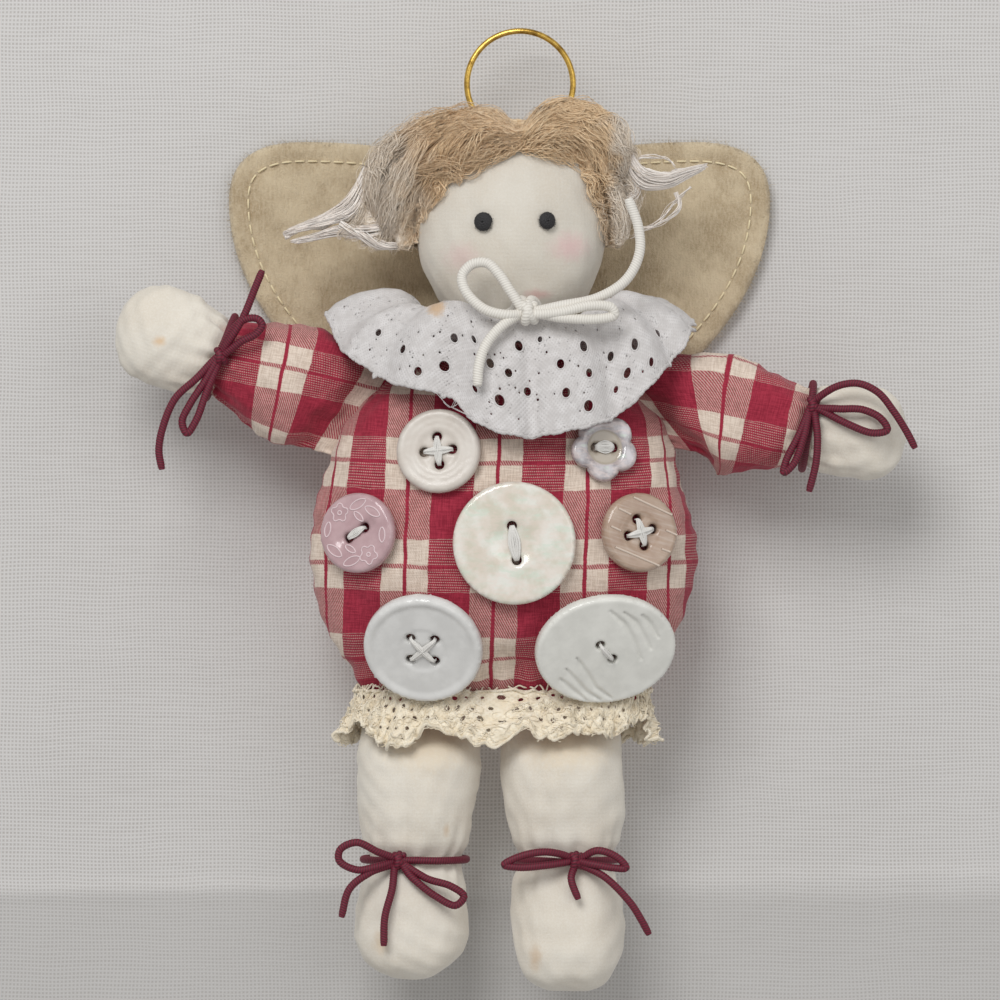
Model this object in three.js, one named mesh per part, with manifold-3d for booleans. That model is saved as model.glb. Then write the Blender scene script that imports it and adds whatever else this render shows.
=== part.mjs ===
// An angel doll: a stuffed cloth figure with felt wings, sewn-on buttons, lace and tied cords.
// Sizes are in millimetres. +Z is up, +X is to the viewer's right, and the doll faces -Y.
// The origin is the highest point inside the hanging ring.
import * as THREE from "three";
import { mergeVertices } from "three/addons/utils/BufferGeometryUtils.js";
import Module from "manifold-3d";

const wasm = await Module();
wasm.setup();

// Gap kept between pieces that touch
const clearance = 0.3;
// Gap at the flat seams of arms and legs, which fold there
const seamGap = 0.75;

// Detail smaller than this is dropped where pieces join
const sliver = 0.05;

// Hanging ring and the thread staple that sews it to the head
const ring = { outerDiameter: 22.4, wire: 1.2 };
const tack = { thread: 0.6 };

// Head, a stuffed muslin ball
const head = { x: -1.6, width: 37.6, height: 44, depth: 28, belowRingTop: 39.6 };

// Eyes, two domed knots; places are measured from the head's centre
const eyes = {
  left: { diameter: 3.6, x: -5.6, z: 1.2 },
  right: { diameter: 3.3, x: 6.8, z: 1.4 },
  height: 1.2,
};

// Hair, one mass over the head with a lobe and a drawn-out tuft on each side
const hair = {
  thickness: 4.8,
  faceWidth: 36.4,
  faceHeight: 38,
  faceBelowCentre: 3.6,
  napeAboveNeck: 18,
  ringSlot: 25,
};
const hairLobes = {
  left: { width: 25.6, height: 29.2, depth: 19, x: -17.2, z: 10.4 },
  right: { width: 21.6, height: 21.6, depth: 19, x: 13.6, z: 16.6 },
};
const hairTufts = {
  left: { rootDiameter: 11, tipDiameter: 2.4, rootX: -27, rootZ: 4, tipX: -45.4, tipZ: -1.6 },
  right: { rootDiameter: 8.4, tipDiameter: 2, rootX: 19.6, rootZ: 9.8, tipX: 38.5, tipZ: 12.6 },
};

// Torso, a stuffed plaid bag that is pinched flat at its hem seam
const torso = {
  x: -3.4,
  height: 72,
  depth: 36,
  neckWidth: 8,
  neckDepth: 7,
  shoulderDrop: 8.2,
  shoulderWidth: 47.2,
  shoulderDepth: 23,
  chestDrop: 19.2,
  chestWidth: 65.2,
  chestDepth: 32,
  widestDrop: 42,
  width: 76,
  bellyRise: 16,
  bellyWidth: 70.5,
  bellyDepth: 31.6,
  hemRise: 3,
  hemWidth: 56,
  hemDepth: 13,
  seamWidth: 53,
  seamDepth: 1.6,
  squareness: 2.5,
};

// Arms: a plaid sleeve sewn into the side of the torso, and a muslin hand tied into its end
const arms = {
  seamDrop: 13,
  seamWidth: 26,
  seamDepth: 1.4,
  seamTurn: 0.6,
  sleeveWidth: 24.4,
  sleeveDepth: 18,
  wristWidth: 15,
  wristDepth: 12.6,
  handDepth: 15,
};
const leftArm = {
  side: -1, rise: 19.6, sleeveLength: 28.6, handLength: 21.2, handWidth: 20, knotAcross: 0,
};
const rightArm = {
  side: 1, rise: -7.5, sleeveLength: 31.6, handLength: 19.6, handWidth: 18.6, knotAcross: 4,
};

// Legs: a muslin tube hung from the hem seam, drawn in at the ankle, with the foot in one piece
const legs = {
  topWidth: 22.6,
  width: 24.4,
  depth: 20,
  seamDepth: 1.4,
  ankleDrop: 30,
  ankleWidth: 18.4,
  ankleDepth: 14,
  footWidth: 22.4,
  footDepth: 18.5,
  toeForward: 2.4,
};
const leftLeg = { x: -16.2, lean: -2.4, reach: 54, knotAcross: -3.4 };
const rightLeg = { x: 11.4, lean: 2, reach: 56.4, knotAcross: 1.6 };

// Wings, two felt hearts of one outline, one on the other
const wings = {
  x: -4.1,
  span: 109,
  felt: 1.2,
  top: 21.1,
  lobeTopX: 39.5,
  notch: 34,
  outerDrop: 33,
  point: 89,
};

// Collar, a gathered lace strip round the neck
const collar = {
  x: -1.3,
  thickness: 0.9,
  gatherWidth: 15,
  gatherDepth: 13,
  width: 72.4,
  frontReach: 22,
  backReach: 15.5,
  sideCrest: 8.6,
  frontCrest: 4.4,
  backCrest: 1.4,
  sideDrop: 5,
  frontDrop: 24.6,
  backDrop: 14,
  folds: 11,
  foldHeight: 1.6,
};

// Hem lace, a gathered crochet strip round the hem
const hemLace = {
  thickness: 0.9,
  height: 12,
  overlap: 3,
  spread: 4,
  frontSpread: 7,
  folds: 19,
  foldHeight: 1.1,
};

// Cords: cream round the neck, burgundy round the wrists and ankles
const cordStep = 4;
const limbCord = { diameter: 1.5, knot: 3.6 };
const neckCord = {
  diameter: 2,
  knot: 4.2,
  knotRight: 2.8,
  knotForward: 3.9,
  knotDrop: 1,
  forward: 0.8,
  roomAcross: 2.95,
  roomThrough: 1.65,
  spread: 3,
};

// Buttons; places are shares of the torso's width across from its middle, and of its height
// down from its neck
const buttonThread = 1.1;
const buttonHole = 2;
const buttons = {
  ivory: { across: -0.164, down: 0.304, diameter: 16.6, thickness: 2.4, rim: 2.6, dish: 0.6,
    holes: 4, holeCircle: 5.6, turn: 6, color: 0xe6dfd2 },
  flower: { across: 0.258, down: 0.294, diameter: 13.6, thickness: 2, rim: 3.2, dish: 0.7,
    holes: 2, holeCircle: 3.6, turn: 0, color: 0xdcd8d0, petals: 5, petalTurn: -24 },
  pink: { across: -0.367, down: 0.526, diameter: 15.8, thickness: 2.6, rim: 3.4, dish: 0.5,
    holes: 2, holeCircle: 4, turn: 32, color: 0xd9a9a9 },
  pearl: { across: 0.029, down: 0.553, diameter: 24.2, thickness: 2.6, rim: 3.2, dish: 0.7,
    holes: 2, holeCircle: 6.8, turn: 98, color: 0xeae6d6 },
  taupe: { across: 0.345, down: 0.525, diameter: 15.6, thickness: 2.8, rim: 3, dish: 0.6,
    holes: 4, holeCircle: 5.4, turn: 15, color: 0xb39a86 },
  white: { across: -0.204, down: 0.828, diameter: 23.6, thickness: 2.8, rim: 1.8, dish: 0.8,
    holes: 4, holeCircle: 6.8, turn: 41, color: 0xdfdedb },
  oval: { across: 0.261, down: 0.831, diameter: 24, longDiameter: 28.2, thickness: 2.6, rim: 2.4, dish: 0.4,
    holes: 2, holeCircle: 4.2, turn: -48, color: 0xe3e2dd },
};

// Colours
const brass = new THREE.MeshStandardMaterial({ color: 0xc9a44c, roughness: 0.3, metalness: 1 });
const muslin = new THREE.MeshStandardMaterial({ color: 0xd9d3c4, roughness: 0.95, metalness: 0 });
const mohair = new THREE.MeshStandardMaterial({ color: 0xb79c7c, roughness: 0.9, metalness: 0 });
const plaid = new THREE.MeshStandardMaterial({ color: 0xa83a4c, roughness: 0.95, metalness: 0 });
const felt = new THREE.MeshStandardMaterial({ color: 0xb8a17a, roughness: 1, metalness: 0 });
const lace = new THREE.MeshStandardMaterial({ color: 0xdcdad6, roughness: 0.95, metalness: 0 });
const crochet = new THREE.MeshStandardMaterial({ color: 0xddcdb0, roughness: 0.95, metalness: 0 });
const creamCord = new THREE.MeshStandardMaterial({ color: 0xe4dccb, roughness: 0.8, metalness: 0 });
const wineCord = new THREE.MeshStandardMaterial({ color: 0x6e1532, roughness: 0.7, metalness: 0 });
const blackThread = new THREE.MeshStandardMaterial({ color: 0x151316, roughness: 0.7, metalness: 0 });
const whiteThread = new THREE.MeshStandardMaterial({ color: 0xe8e6e2, roughness: 0.9, metalness: 0 });

const doll = new THREE.Group();

function add(name, geometry, material) {
  const mesh = new THREE.Mesh(geometry, material);
  mesh.name = name;
  doll.add(mesh);
  return mesh;
}

// Small helpers

function vector(x, y, z) {
  return new THREE.Vector3(x, y, z);
}

function bare(geometry, nearness = 1e-4) {
  const copy = geometry.clone();
  copy.deleteAttribute("normal");
  copy.deleteAttribute("uv");
  return mergeVertices(copy, nearness);
}

function solid(geometry) {
  const merged = bare(geometry);
  return new wasm.Manifold(new wasm.Mesh({
    numProp: 3,
    vertProperties: new Float32Array(merged.attributes.position.array),
    triVerts: new Uint32Array(merged.index.array),
  }));
}

function geometryOf(manifold) {
  const mesh = manifold.getMesh();
  const geometry = new THREE.BufferGeometry();
  geometry.setAttribute("position", new THREE.BufferAttribute(mesh.vertProperties, mesh.numProp));
  geometry.setIndex(new THREE.BufferAttribute(mesh.triVerts, 1));
  geometry.computeVertexNormals();
  return geometry;
}

// One body from several that meet; the slivers and specks that their crossings leave are dropped
function joined(geometries) {
  const whole = geometries.map(solid).reduce((sum, piece) => sum.add(piece)).simplify(sliver);
  const bodies = whole.decompose().sort((a, b) => b.volume() - a.volume());
  const merged = bare(geometryOf(bodies[0]), sliver);
  const index = [];
  for (let k = 0; k < merged.index.count; k += 3) {
    const corners = [0, 1, 2].map((i) => merged.index.getX(k + i));
    if (new Set(corners).size === 3) index.push(...corners);
  }
  merged.setIndex(index);
  merged.computeVertexNormals();
  return merged;
}

function without(geometry, cutters) {
  return geometryOf(cutters.map(solid).reduce((whole, cutter) => whole.subtract(cutter), solid(geometry)));
}

// A smooth curve of y over x through the given points, which never overshoots them
function curveThrough(points) {
  const slope = (a, b) => (b[1] - a[1]) / (b[0] - a[0]);
  const slopes = points.map((point, i) => {
    if (i === 0) return slope(point, points[1]);
    if (i === points.length - 1) return slope(points[i - 1], point);
    const before = slope(points[i - 1], point);
    const after = slope(point, points[i + 1]);
    return before * after <= 0 ? 0 : (2 * before * after) / (before + after);
  });
  return (x) => {
    let i = 0;
    while (i < points.length - 2 && x > points[i + 1][0]) i += 1;
    const span = points[i + 1][0] - points[i][0];
    const t = THREE.MathUtils.clamp((x - points[i][0]) / span, 0, 1);
    const rise = points[i + 1][1] - points[i][1];
    const start = slopes[i] * span;
    const end = slopes[i + 1] * span;
    const bent = t * t * (3 * rise - 2 * start - end) + t ** 3 * (start + end - 2 * rise);
    return points[i][1] + t * start + bent;
  };
}

// A closed skin over rings of points that all have the same count, with a flat cap on each end
function loft(rings) {
  const sides = rings[0].length;
  const positions = rings.flat().flatMap((point) => [point.x, point.y, point.z]);
  const index = [];
  for (let row = 0; row < rings.length - 1; row += 1) {
    for (let i = 0; i < sides; i += 1) {
      const a = row * sides + i;
      const b = row * sides + ((i + 1) % sides);
      index.push(a, b, b + sides, a, b + sides, a + sides);
    }
  }
  [0, rings.length - 1].forEach((row) => {
    const middle = rings[row].reduce((sum, point) => sum.add(point), vector(0, 0, 0)).divideScalar(sides);
    const centre = positions.push(middle.x, middle.y, middle.z) / 3 - 1;
    for (let i = 0; i < sides; i += 1) {
      const a = row * sides + i;
      const b = row * sides + ((i + 1) % sides);
      index.push(...(row === 0 ? [centre, b, a] : [centre, a, b]));
    }
  });
  return facingOut(positions, index);
}

// A closed band: each ring is a closed section, and the last section joins the first
function band(rings) {
  const sides = rings[0].length;
  const positions = rings.flat().flatMap((point) => [point.x, point.y, point.z]);
  const index = [];
  for (let row = 0; row < rings.length; row += 1) {
    const next = (row + 1) % rings.length;
    for (let i = 0; i < sides; i += 1) {
      const j = (i + 1) % sides;
      index.push(row * sides + i, row * sides + j, next * sides + j);
      index.push(row * sides + i, next * sides + j, next * sides + i);
    }
  }
  return facingOut(positions, index);
}

function facingOut(positions, index) {
  const corner = (k) => {
    const first = 3 * index[k];
    return vector(positions[first], positions[first + 1], positions[first + 2]);
  };
  let volume = 0;
  for (let k = 0; k < index.length; k += 3) {
    volume += corner(k).dot(corner(k + 1).cross(corner(k + 2)));
  }
  if (volume < 0) index.reverse();
  const geometry = new THREE.BufferGeometry();
  geometry.setAttribute("position", new THREE.Float32BufferAttribute(positions, 3));
  geometry.setIndex(index);
  geometry.computeVertexNormals();
  return geometry;
}

// A closed oval of points: squareness 2 is an ellipse, and more is boxier
function oval(centre, across, through, halfAcross, halfThrough, sides, squareness = 2) {
  const power = 2 / squareness;
  const bulge = (value) => Math.sign(value) * Math.abs(value) ** power;
  return Array.from({ length: sides }, (_, i) => {
    const angle = (2 * Math.PI * i) / sides;
    return centre.clone()
      .addScaledVector(across, halfAcross * bulge(Math.cos(angle)))
      .addScaledVector(through, halfThrough * bulge(Math.sin(angle)));
  });
}

// Distances from start to end, closer together towards both ends
function spaced(start, end, count) {
  return Array.from({ length: count + 1 }, (_, i) => {
    return start + ((end - start) * (1 - Math.cos((Math.PI * i) / count))) / 2;
  });
}

// How full a rounded tip still is at this distance along it
function tipFullness(distance, length, tip) {
  const into = THREE.MathUtils.clamp((distance - (length - tip)) / tip, 0, 0.985);
  return Math.sqrt(1 - into * into);
}

function ellipsoid(centre, width, depth, height, columns = 20, rows = 12) {
  const ball = new THREE.SphereGeometry(0.5, columns, rows);
  ball.rotateX(Math.PI / 2);
  ball.scale(width, depth, height);
  ball.translate(centre.x, centre.y, centre.z);
  return ball;
}

// A round tube along points, with flat ends
function tube(points, diameter, steps, sides = 6) {
  const section = new THREE.Shape(Array.from({ length: sides }, (_, i) => {
    const angle = (2 * Math.PI * i) / sides;
    return new THREE.Vector2(Math.cos(angle), Math.sin(angle)).multiplyScalar(diameter / 2);
  }));
  const extrudePath = new THREE.CatmullRomCurve3(points);
  return new THREE.ExtrudeGeometry(section, { steps, extrudePath, bevelEnabled: false });
}

// Ring: its middle hangs straight below the origin

const wireRadius = ring.wire / 2;
const ringMiddleRadius = ring.outerDiameter / 2 - wireRadius;
const ringCentreZ = -(ringMiddleRadius - wireRadius);
const ringFootZ = ringCentreZ - ringMiddleRadius;

function makeRing() {
  const geometry = new THREE.TorusGeometry(ringMiddleRadius, wireRadius, 8, 32);
  geometry.rotateX(Math.PI / 2);
  geometry.translate(0, 0, ringCentreZ);
  add("halo_ring", geometry, brass);
}

// Head: its middle plane is set so that the foot of the ring rests against the back of it

const headZ = -head.belowRingTop;
const neckZ = headZ - head.height / 2;

function ringSeat() {
  const away = wireRadius + clearance;
  let lift = 0.5;
  let outward = vector(0, 1, 0);
  for (let i = 0; i < 8; i += 1) {
    const rise = (ringFootZ - headZ - away * outward.z) / (head.height / 2);
    const sine = THREE.MathUtils.clamp(rise, -0.99, 0.99);
    lift = Math.asin(sine);
    outward = vector(0, Math.cos(lift) / head.depth, Math.sin(lift) / head.height).normalize();
  }
  return { outward, middleY: -(Math.cos(lift) * head.depth) / 2 - away * outward.y };
}

const seat = ringSeat();
const bodyY = seat.middleY;

function makeHead() {
  add("head", ellipsoid(vector(head.x, bodyY, headZ), head.width, head.depth, head.height, 22, 13), muslin);
}

// The point of the face over a place given from the head's centre, and the way it faces
function facePoint(x, z) {
  const across = x / (head.width / 2);
  const up = z / (head.height / 2);
  const y = -(head.depth / 2) * Math.sqrt(1 - across * across - up * up);
  const outward = vector(x / head.width ** 2, y / head.depth ** 2, z / head.height ** 2).normalize();
  return { point: vector(head.x + x, bodyY + y, headZ + z), outward };
}

// A frame that stands on a point, with its Z along the outward direction and its Y upwards
function frameOn(point, outward) {
  const across = vector(0, 0, 1).cross(outward).normalize();
  const up = outward.clone().cross(across);
  return new THREE.Matrix4().makeBasis(across, up, outward).setPosition(point);
}

function makeEye(name, eye) {
  const { point, outward } = facePoint(eye.x, eye.z);
  const radius = eye.diameter / 2;
  const profile = [new THREE.Vector2(0, 0), new THREE.Vector2(radius * 0.92, 0)];
  for (let i = 1; i <= 4; i += 1) {
    const angle = (Math.PI / 2) * (i / 4);
    const across = i === 4 ? 0 : radius * Math.cos(angle * 0.9);
    profile.push(new THREE.Vector2(across, eyes.height * Math.sin(angle)));
  }
  const dome = new THREE.LatheGeometry(profile, 12);
  dome.rotateX(Math.PI / 2);
  dome.applyMatrix4(frameOn(point.addScaledVector(outward, clearance), outward));
  add(name, dome, blackThread);
}

function makeRingTack() {
  const along = vector(0, -seat.outward.z, seat.outward.y);
  const wire = vector(0, 0, ringFootZ);
  const reach = wireRadius + clearance + tack.thread / 2;
  const place = (up, out) => wire.clone().addScaledVector(along, up).addScaledVector(seat.outward, out);
  const points = [place(-reach, -wireRadius)];
  for (let i = 0; i <= 6; i += 1) {
    const angle = Math.PI * (i / 6);
    points.push(place(-reach * Math.cos(angle), reach * Math.sin(angle)));
  }
  points.push(place(reach, -wireRadius));
  add("ring_tack", tube(points, tack.thread, 10), whiteThread);
}

// Hair: everything near the head that isn't head, face or the room the ring needs

function makeHair() {
  const place = (x, z, y = 0) => vector(head.x + x, bodyY + y, headZ + z);
  const grown = 2 * hair.thickness;
  const capSize = [head.width + grown, head.depth + grown, head.height + grown];
  const cap = ellipsoid(place(0, 0, 0.5), ...capSize, 18, 11);
  const lobes = Object.values(hairLobes).map((lobe) => {
    return ellipsoid(place(lobe.x, lobe.z), lobe.width, lobe.depth, lobe.height, 10, 7);
  });
  const tufts = Object.values(hairTufts).map((tuft) => {
    const from = place(tuft.rootX, tuft.rootZ);
    const to = place(tuft.tipX, tuft.tipZ);
    const along = to.clone().sub(from).normalize();
    const across = vector(-along.z, 0, along.x);
    const length = from.distanceTo(to);
    return loft(spaced(0, length, 5).map((distance) => {
      const share = distance / length;
      const full = THREE.MathUtils.lerp(tuft.rootDiameter, tuft.tipDiameter, share ** 0.8) / 2;
      const centre = from.clone().addScaledVector(along, distance);
      return oval(centre, across, vector(0, 1, 0), full, full * 0.8, 8);
    }));
  });
  const skull = ellipsoid(
    place(0, 0), head.width + 2 * clearance, head.depth + 2 * clearance, head.height + 2 * clearance, 22, 13,
  );
  const face = loft([0, 1].map((end) => {
    const centre = place(0, -hair.faceBelowCentre, -end * (head.depth + grown));
    return oval(centre, vector(1, 0, 0), vector(0, 0, 1), hair.faceWidth / 2, hair.faceHeight / 2, 24);
  }));
  const slotFoot = ringFootZ - wireRadius - tack.thread - 2 * clearance;
  const slotFront = -(wireRadius + tack.thread + 2 * clearance);
  const slotDepth = head.depth + grown;
  const slot = new THREE.BoxGeometry(hair.ringSlot, slotDepth, head.height);
  slot.translate(0, slotFront + slotDepth / 2, slotFoot + head.height / 2);
  const nape = neckZ + hair.napeAboveNeck;
  const below = new THREE.BoxGeometry(2 * head.width, 3 * head.depth, head.height);
  below.translate(head.x, bodyY, nape - head.height / 2);
  const wingRoom = new THREE.BoxGeometry(3 * head.width, head.depth, 3 * head.height);
  wingRoom.translate(head.x, wingsFrontY - clearance + head.depth / 2, headZ);
  const whole = joined([cap, ...lobes, ...tufts]);
  add("hair", without(whole, [skull, face, slot, below, wingRoom]), mohair);
}

// Torso: half widths and half depths over the distance down from the neck

const torsoTopZ = neckZ - clearance;
const torsoHalfWidth = curveThrough([
  [0, torso.neckWidth / 2],
  [torso.shoulderDrop, torso.shoulderWidth / 2],
  [torso.chestDrop, torso.chestWidth / 2],
  [torso.widestDrop, torso.width / 2],
  [torso.height - torso.bellyRise, torso.bellyWidth / 2],
  [torso.height - torso.hemRise, torso.hemWidth / 2],
  [torso.height, torso.seamWidth / 2],
]);
const torsoHalfDepth = curveThrough([
  [0, torso.neckDepth / 2],
  [torso.shoulderDrop, torso.shoulderDepth / 2],
  [torso.chestDrop, torso.chestDepth / 2],
  [torso.widestDrop, torso.depth / 2],
  [torso.height - torso.bellyRise, torso.bellyDepth / 2],
  [torso.height - torso.hemRise, torso.hemDepth / 2],
  [torso.height, torso.seamDepth / 2],
]);
const hemZ = torsoTopZ - torso.height;
const wingsFrontY = bodyY + torso.depth / 2 + clearance;

// The torso's own shape, or the same shape a little larger all round to cut its neighbours with
function torsoShape(larger = 0) {
  const drops = spaced(0, torso.height, 16);
  return loft(drops.map((drop) => {
    const stretch = drop < torso.height / 2 ? larger : -larger;
    const nearEnd = drop === 0 || drop === torso.height ? 1 : 0;
    const centre = vector(torso.x, bodyY, torsoTopZ - drop + nearEnd * stretch);
    return oval(
      centre, vector(1, 0, 0), vector(0, 1, 0),
      torsoHalfWidth(drop) + larger, torsoHalfDepth(drop) + larger, 28, torso.squareness,
    );
  }));
}

// The point of the torso's front at x from its middle and a drop from its neck, and the way it faces
function frontPoint(x, drop) {
  const at = (across, down) => {
    const share = Math.min(Math.abs(across) / torsoHalfWidth(down), 0.98);
    const depth = torsoHalfDepth(down) * (1 - share ** torso.squareness) ** (1 / torso.squareness);
    return vector(torso.x + across, bodyY - depth, torsoTopZ - down);
  };
  const step = 0.5;
  const rightwards = at(x + step, drop).sub(at(x - step, drop));
  const upwards = at(x, drop - step).sub(at(x, drop + step));
  return { point: at(x, drop), outward: rightwards.cross(upwards).normalize() };
}

// Arms: each has its own frame, with its start on the side of the torso

function armFrame(arm) {
  const step = 0.5;
  const edge = (drop) => vector(torso.x + arm.side * torsoHalfWidth(drop), bodyY, torsoTopZ - drop);
  const seam = edge(arms.seamDrop - step).sub(edge(arms.seamDrop + step)).normalize();
  const rise = THREE.MathUtils.degToRad(arm.rise);
  const along = vector(arm.side * Math.cos(rise), 0, Math.sin(rise));
  const across = vector(-arm.side * along.z, 0, arm.side * along.x);
  const away = vector(arm.side * seam.z, 0, -arm.side * seam.x);
  const start = edge(arms.seamDrop).addScaledVector(away, seamGap);
  return { start, seam, along, across };
}

function limb(frame, distances, halfWidth, halfDepth, forward = () => 0, sides = 16) {
  return loft(distances.map((distance) => {
    const centre = frame.start.clone().addScaledVector(frame.along, distance);
    centre.y -= forward(distance);
    const across = frame.acrossAt ? frame.acrossAt(distance) : frame.across;
    return oval(centre, across, vector(0, 1, 0), halfWidth(distance), halfDepth(distance), sides);
  }));
}

function makeSleeve(name, arm) {
  const frame = armFrame(arm);
  const inside = arms.seamWidth / 10;
  frame.acrossAt = (distance) => {
    const turned = THREE.MathUtils.smoothstep(distance, 0, arms.seamTurn * arm.sleeveLength);
    return frame.seam.clone().lerp(frame.across, turned).normalize();
  };
  const halfWidth = curveThrough([
    [-inside, arms.seamWidth / 2],
    [arm.sleeveLength * 0.4, arms.sleeveWidth / 2],
    [arm.sleeveLength, arms.wristWidth / 2],
  ]);
  const halfDepth = curveThrough([
    [-inside, arms.seamDepth / 2],
    [0, arms.seamDepth / 2],
    [arm.sleeveLength * 0.5, arms.sleeveDepth / 2],
    [arm.sleeveLength, arms.wristDepth / 2],
  ]);
  const sleeve = limb(frame, spaced(-inside, arm.sleeveLength, 10), halfWidth, halfDepth);
  add(name, without(sleeve, [torsoShape(seamGap)]), plaid);
}

function makeHand(name, arm) {
  const frame = armFrame(arm);
  const start = arm.sleeveLength + clearance;
  const end = start + arm.handLength;
  const width = curveThrough([
    [start, arms.wristWidth / 2],
    [start + arm.handLength * 0.45, arm.handWidth / 2],
    [end, arm.handWidth / 2],
  ]);
  const depth = curveThrough([
    [start, arms.wristDepth / 2],
    [start + arm.handLength * 0.45, arms.handDepth / 2],
    [end, arms.handDepth / 2],
  ]);
  const tip = arm.handWidth / 2;
  const distances = spaced(start, end, 8);
  add(name, limb(
    frame, distances,
    (distance) => width(distance) * tipFullness(distance, end, tip),
    (distance) => depth(distance) * tipFullness(distance, end, tip),
  ), muslin);
}

// Legs

function legFrame(leg) {
  const start = vector(torso.x + leg.x, bodyY, hemZ - seamGap);
  const along = vector(leg.lean, 0, -leg.reach).normalize();
  return { start, along, across: vector(1, 0, 0) };
}

function makeLeg(name, leg) {
  const ankle = legs.ankleDrop;
  const footMiddle = (ankle + leg.reach) / 2;
  const width = curveThrough([
    [0, legs.topWidth / 2],
    [ankle * 0.4, legs.width / 2],
    [ankle, legs.ankleWidth / 2],
    [footMiddle, legs.footWidth / 2],
    [leg.reach, legs.footWidth / 2],
  ]);
  const depth = curveThrough([
    [0, legs.seamDepth / 2],
    [ankle * 0.4, legs.depth / 2],
    [ankle, legs.ankleDepth / 2],
    [footMiddle, legs.footDepth / 2],
    [leg.reach, legs.footDepth / 2],
  ]);
  const forward = curveThrough([[0, 0], [ankle, 0], [leg.reach, legs.toeForward]]);
  const tip = legs.footWidth / 2;
  add(name, limb(
    legFrame(leg), spaced(0, leg.reach, 15),
    (distance) => width(distance) * tipFullness(distance, leg.reach, tip),
    (distance) => depth(distance) * tipFullness(distance, leg.reach, tip),
    forward,
  ), muslin);
}

// Wings

function wingOutline() {
  const half = wings.span / 2;
  const shape = new THREE.Shape();
  shape.moveTo(0, -wings.notch);
  [1, -1].forEach((side) => {
    const points = [
      [0, -wings.notch],
      [side * wings.lobeTopX * 0.25, -wings.top - 2],
      [side * wings.lobeTopX * 0.6, -wings.top],
      [side * wings.lobeTopX, -wings.top],
      [side * half * 0.93, -wings.top],
      [side * half, -(wings.top + (wings.outerDrop - wings.top) * 0.4)],
      [side * half, -wings.outerDrop],
      [side * half, -(wings.outerDrop + (wings.point - wings.outerDrop) * 0.4)],
      [side * half * 0.62, -(wings.outerDrop + (wings.point - wings.outerDrop) * 0.76)],
      [0, -wings.point],
    ];
    const run = side > 0 ? points : points.reverse();
    for (let i = 0; i < 9; i += 3) {
      shape.bezierCurveTo(...run[i + 1], ...run[i + 2], ...run[i + 3]);
    }
  });
  return shape;
}

function makeWings() {
  ["wing_front_layer", "wing_back_layer"].forEach((name, layer) => {
    const sheet = new THREE.ExtrudeGeometry(wingOutline(), {
      depth: wings.felt, bevelEnabled: false, curveSegments: 9,
    });
    sheet.rotateX(Math.PI / 2);
    sheet.translate(wings.x, wingsFrontY + wings.felt + layer * (wings.felt + clearance), 0);
    add(name, sheet, felt);
  });
}

// A gathered strip: at each angle round the body its section follows the same few points, from the
// gathered edge to the free edge, and the folds grow towards the free edge
function ruffle({ centre, profile, thickness, folds, foldHeight, turns }) {
  const rings = Array.from({ length: turns }, (_, k) => {
    const angle = (2 * Math.PI * k) / turns;
    const points = profile(angle);
    const wave = Math.cos(folds * angle);
    const offsets = points.map((point, i) => {
      const before = points[Math.max(i - 1, 0)];
      const after = points[Math.min(i + 1, points.length - 1)];
      const out = Math.hypot(after.across - before.across, after.through - before.through);
      const up = after.z - before.z;
      const size = Math.hypot(out, up);
      return { lift: out / size, push: -up / size, share: i / (points.length - 1) };
    });
    const side = (sign) => points.map((point, i) => {
      const { lift, push, share } = offsets[i];
      const shift = foldHeight * wave * share + (sign * thickness) / 2;
      const size = Math.hypot(point.across, point.through);
      return vector(
        centre.x + point.across * (1 + (push * shift) / size),
        centre.y + point.through * (1 + (push * shift) / size),
        point.z + lift * shift,
      );
    });
    return [...side(1), ...side(-1).reverse()];
  });
  return band(rings);
}

function makeCollar() {
  const half = collar.width / 2;
  const gatherX = collar.gatherWidth / 2;
  const gatherY = collar.gatherDepth / 2;
  const gatherZ = neckZ + collar.thickness / 2;
  const profile = (angle) => {
    const cosine = Math.cos(angle);
    const sine = Math.sin(angle);
    const reach = sine < 0 ? collar.frontReach : collar.backReach;
    const drop = sine < 0 ? collar.frontDrop : collar.backDrop;
    const hang = Math.abs(sine) ** 2.2;
    const at = (share, z) => ({
      across: cosine * THREE.MathUtils.lerp(gatherX, half, share),
      through: sine * THREE.MathUtils.lerp(gatherY, reach, share),
      z: gatherZ + z,
    });
    const middleCrest = sine < 0 ? collar.frontCrest : collar.backCrest;
    const crest = THREE.MathUtils.lerp(collar.sideCrest, middleCrest, hang);
    const edge = crest - THREE.MathUtils.lerp(collar.sideDrop, drop, hang);
    return [
      at(0, 0),
      at(0.2, 0.3),
      at(0.55, crest),
      at(0.78, THREE.MathUtils.lerp(crest, edge, 0.22)),
      at(0.92, THREE.MathUtils.lerp(crest, edge, 0.6)),
      at(1, edge),
    ];
  };
  const geometry = ruffle({
    centre: vector(collar.x, bodyY, 0),
    profile,
    thickness: collar.thickness,
    folds: collar.folds,
    foldHeight: collar.foldHeight,
    turns: 5 * collar.folds,
  });
  add("collar", geometry, lace);
}

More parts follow.
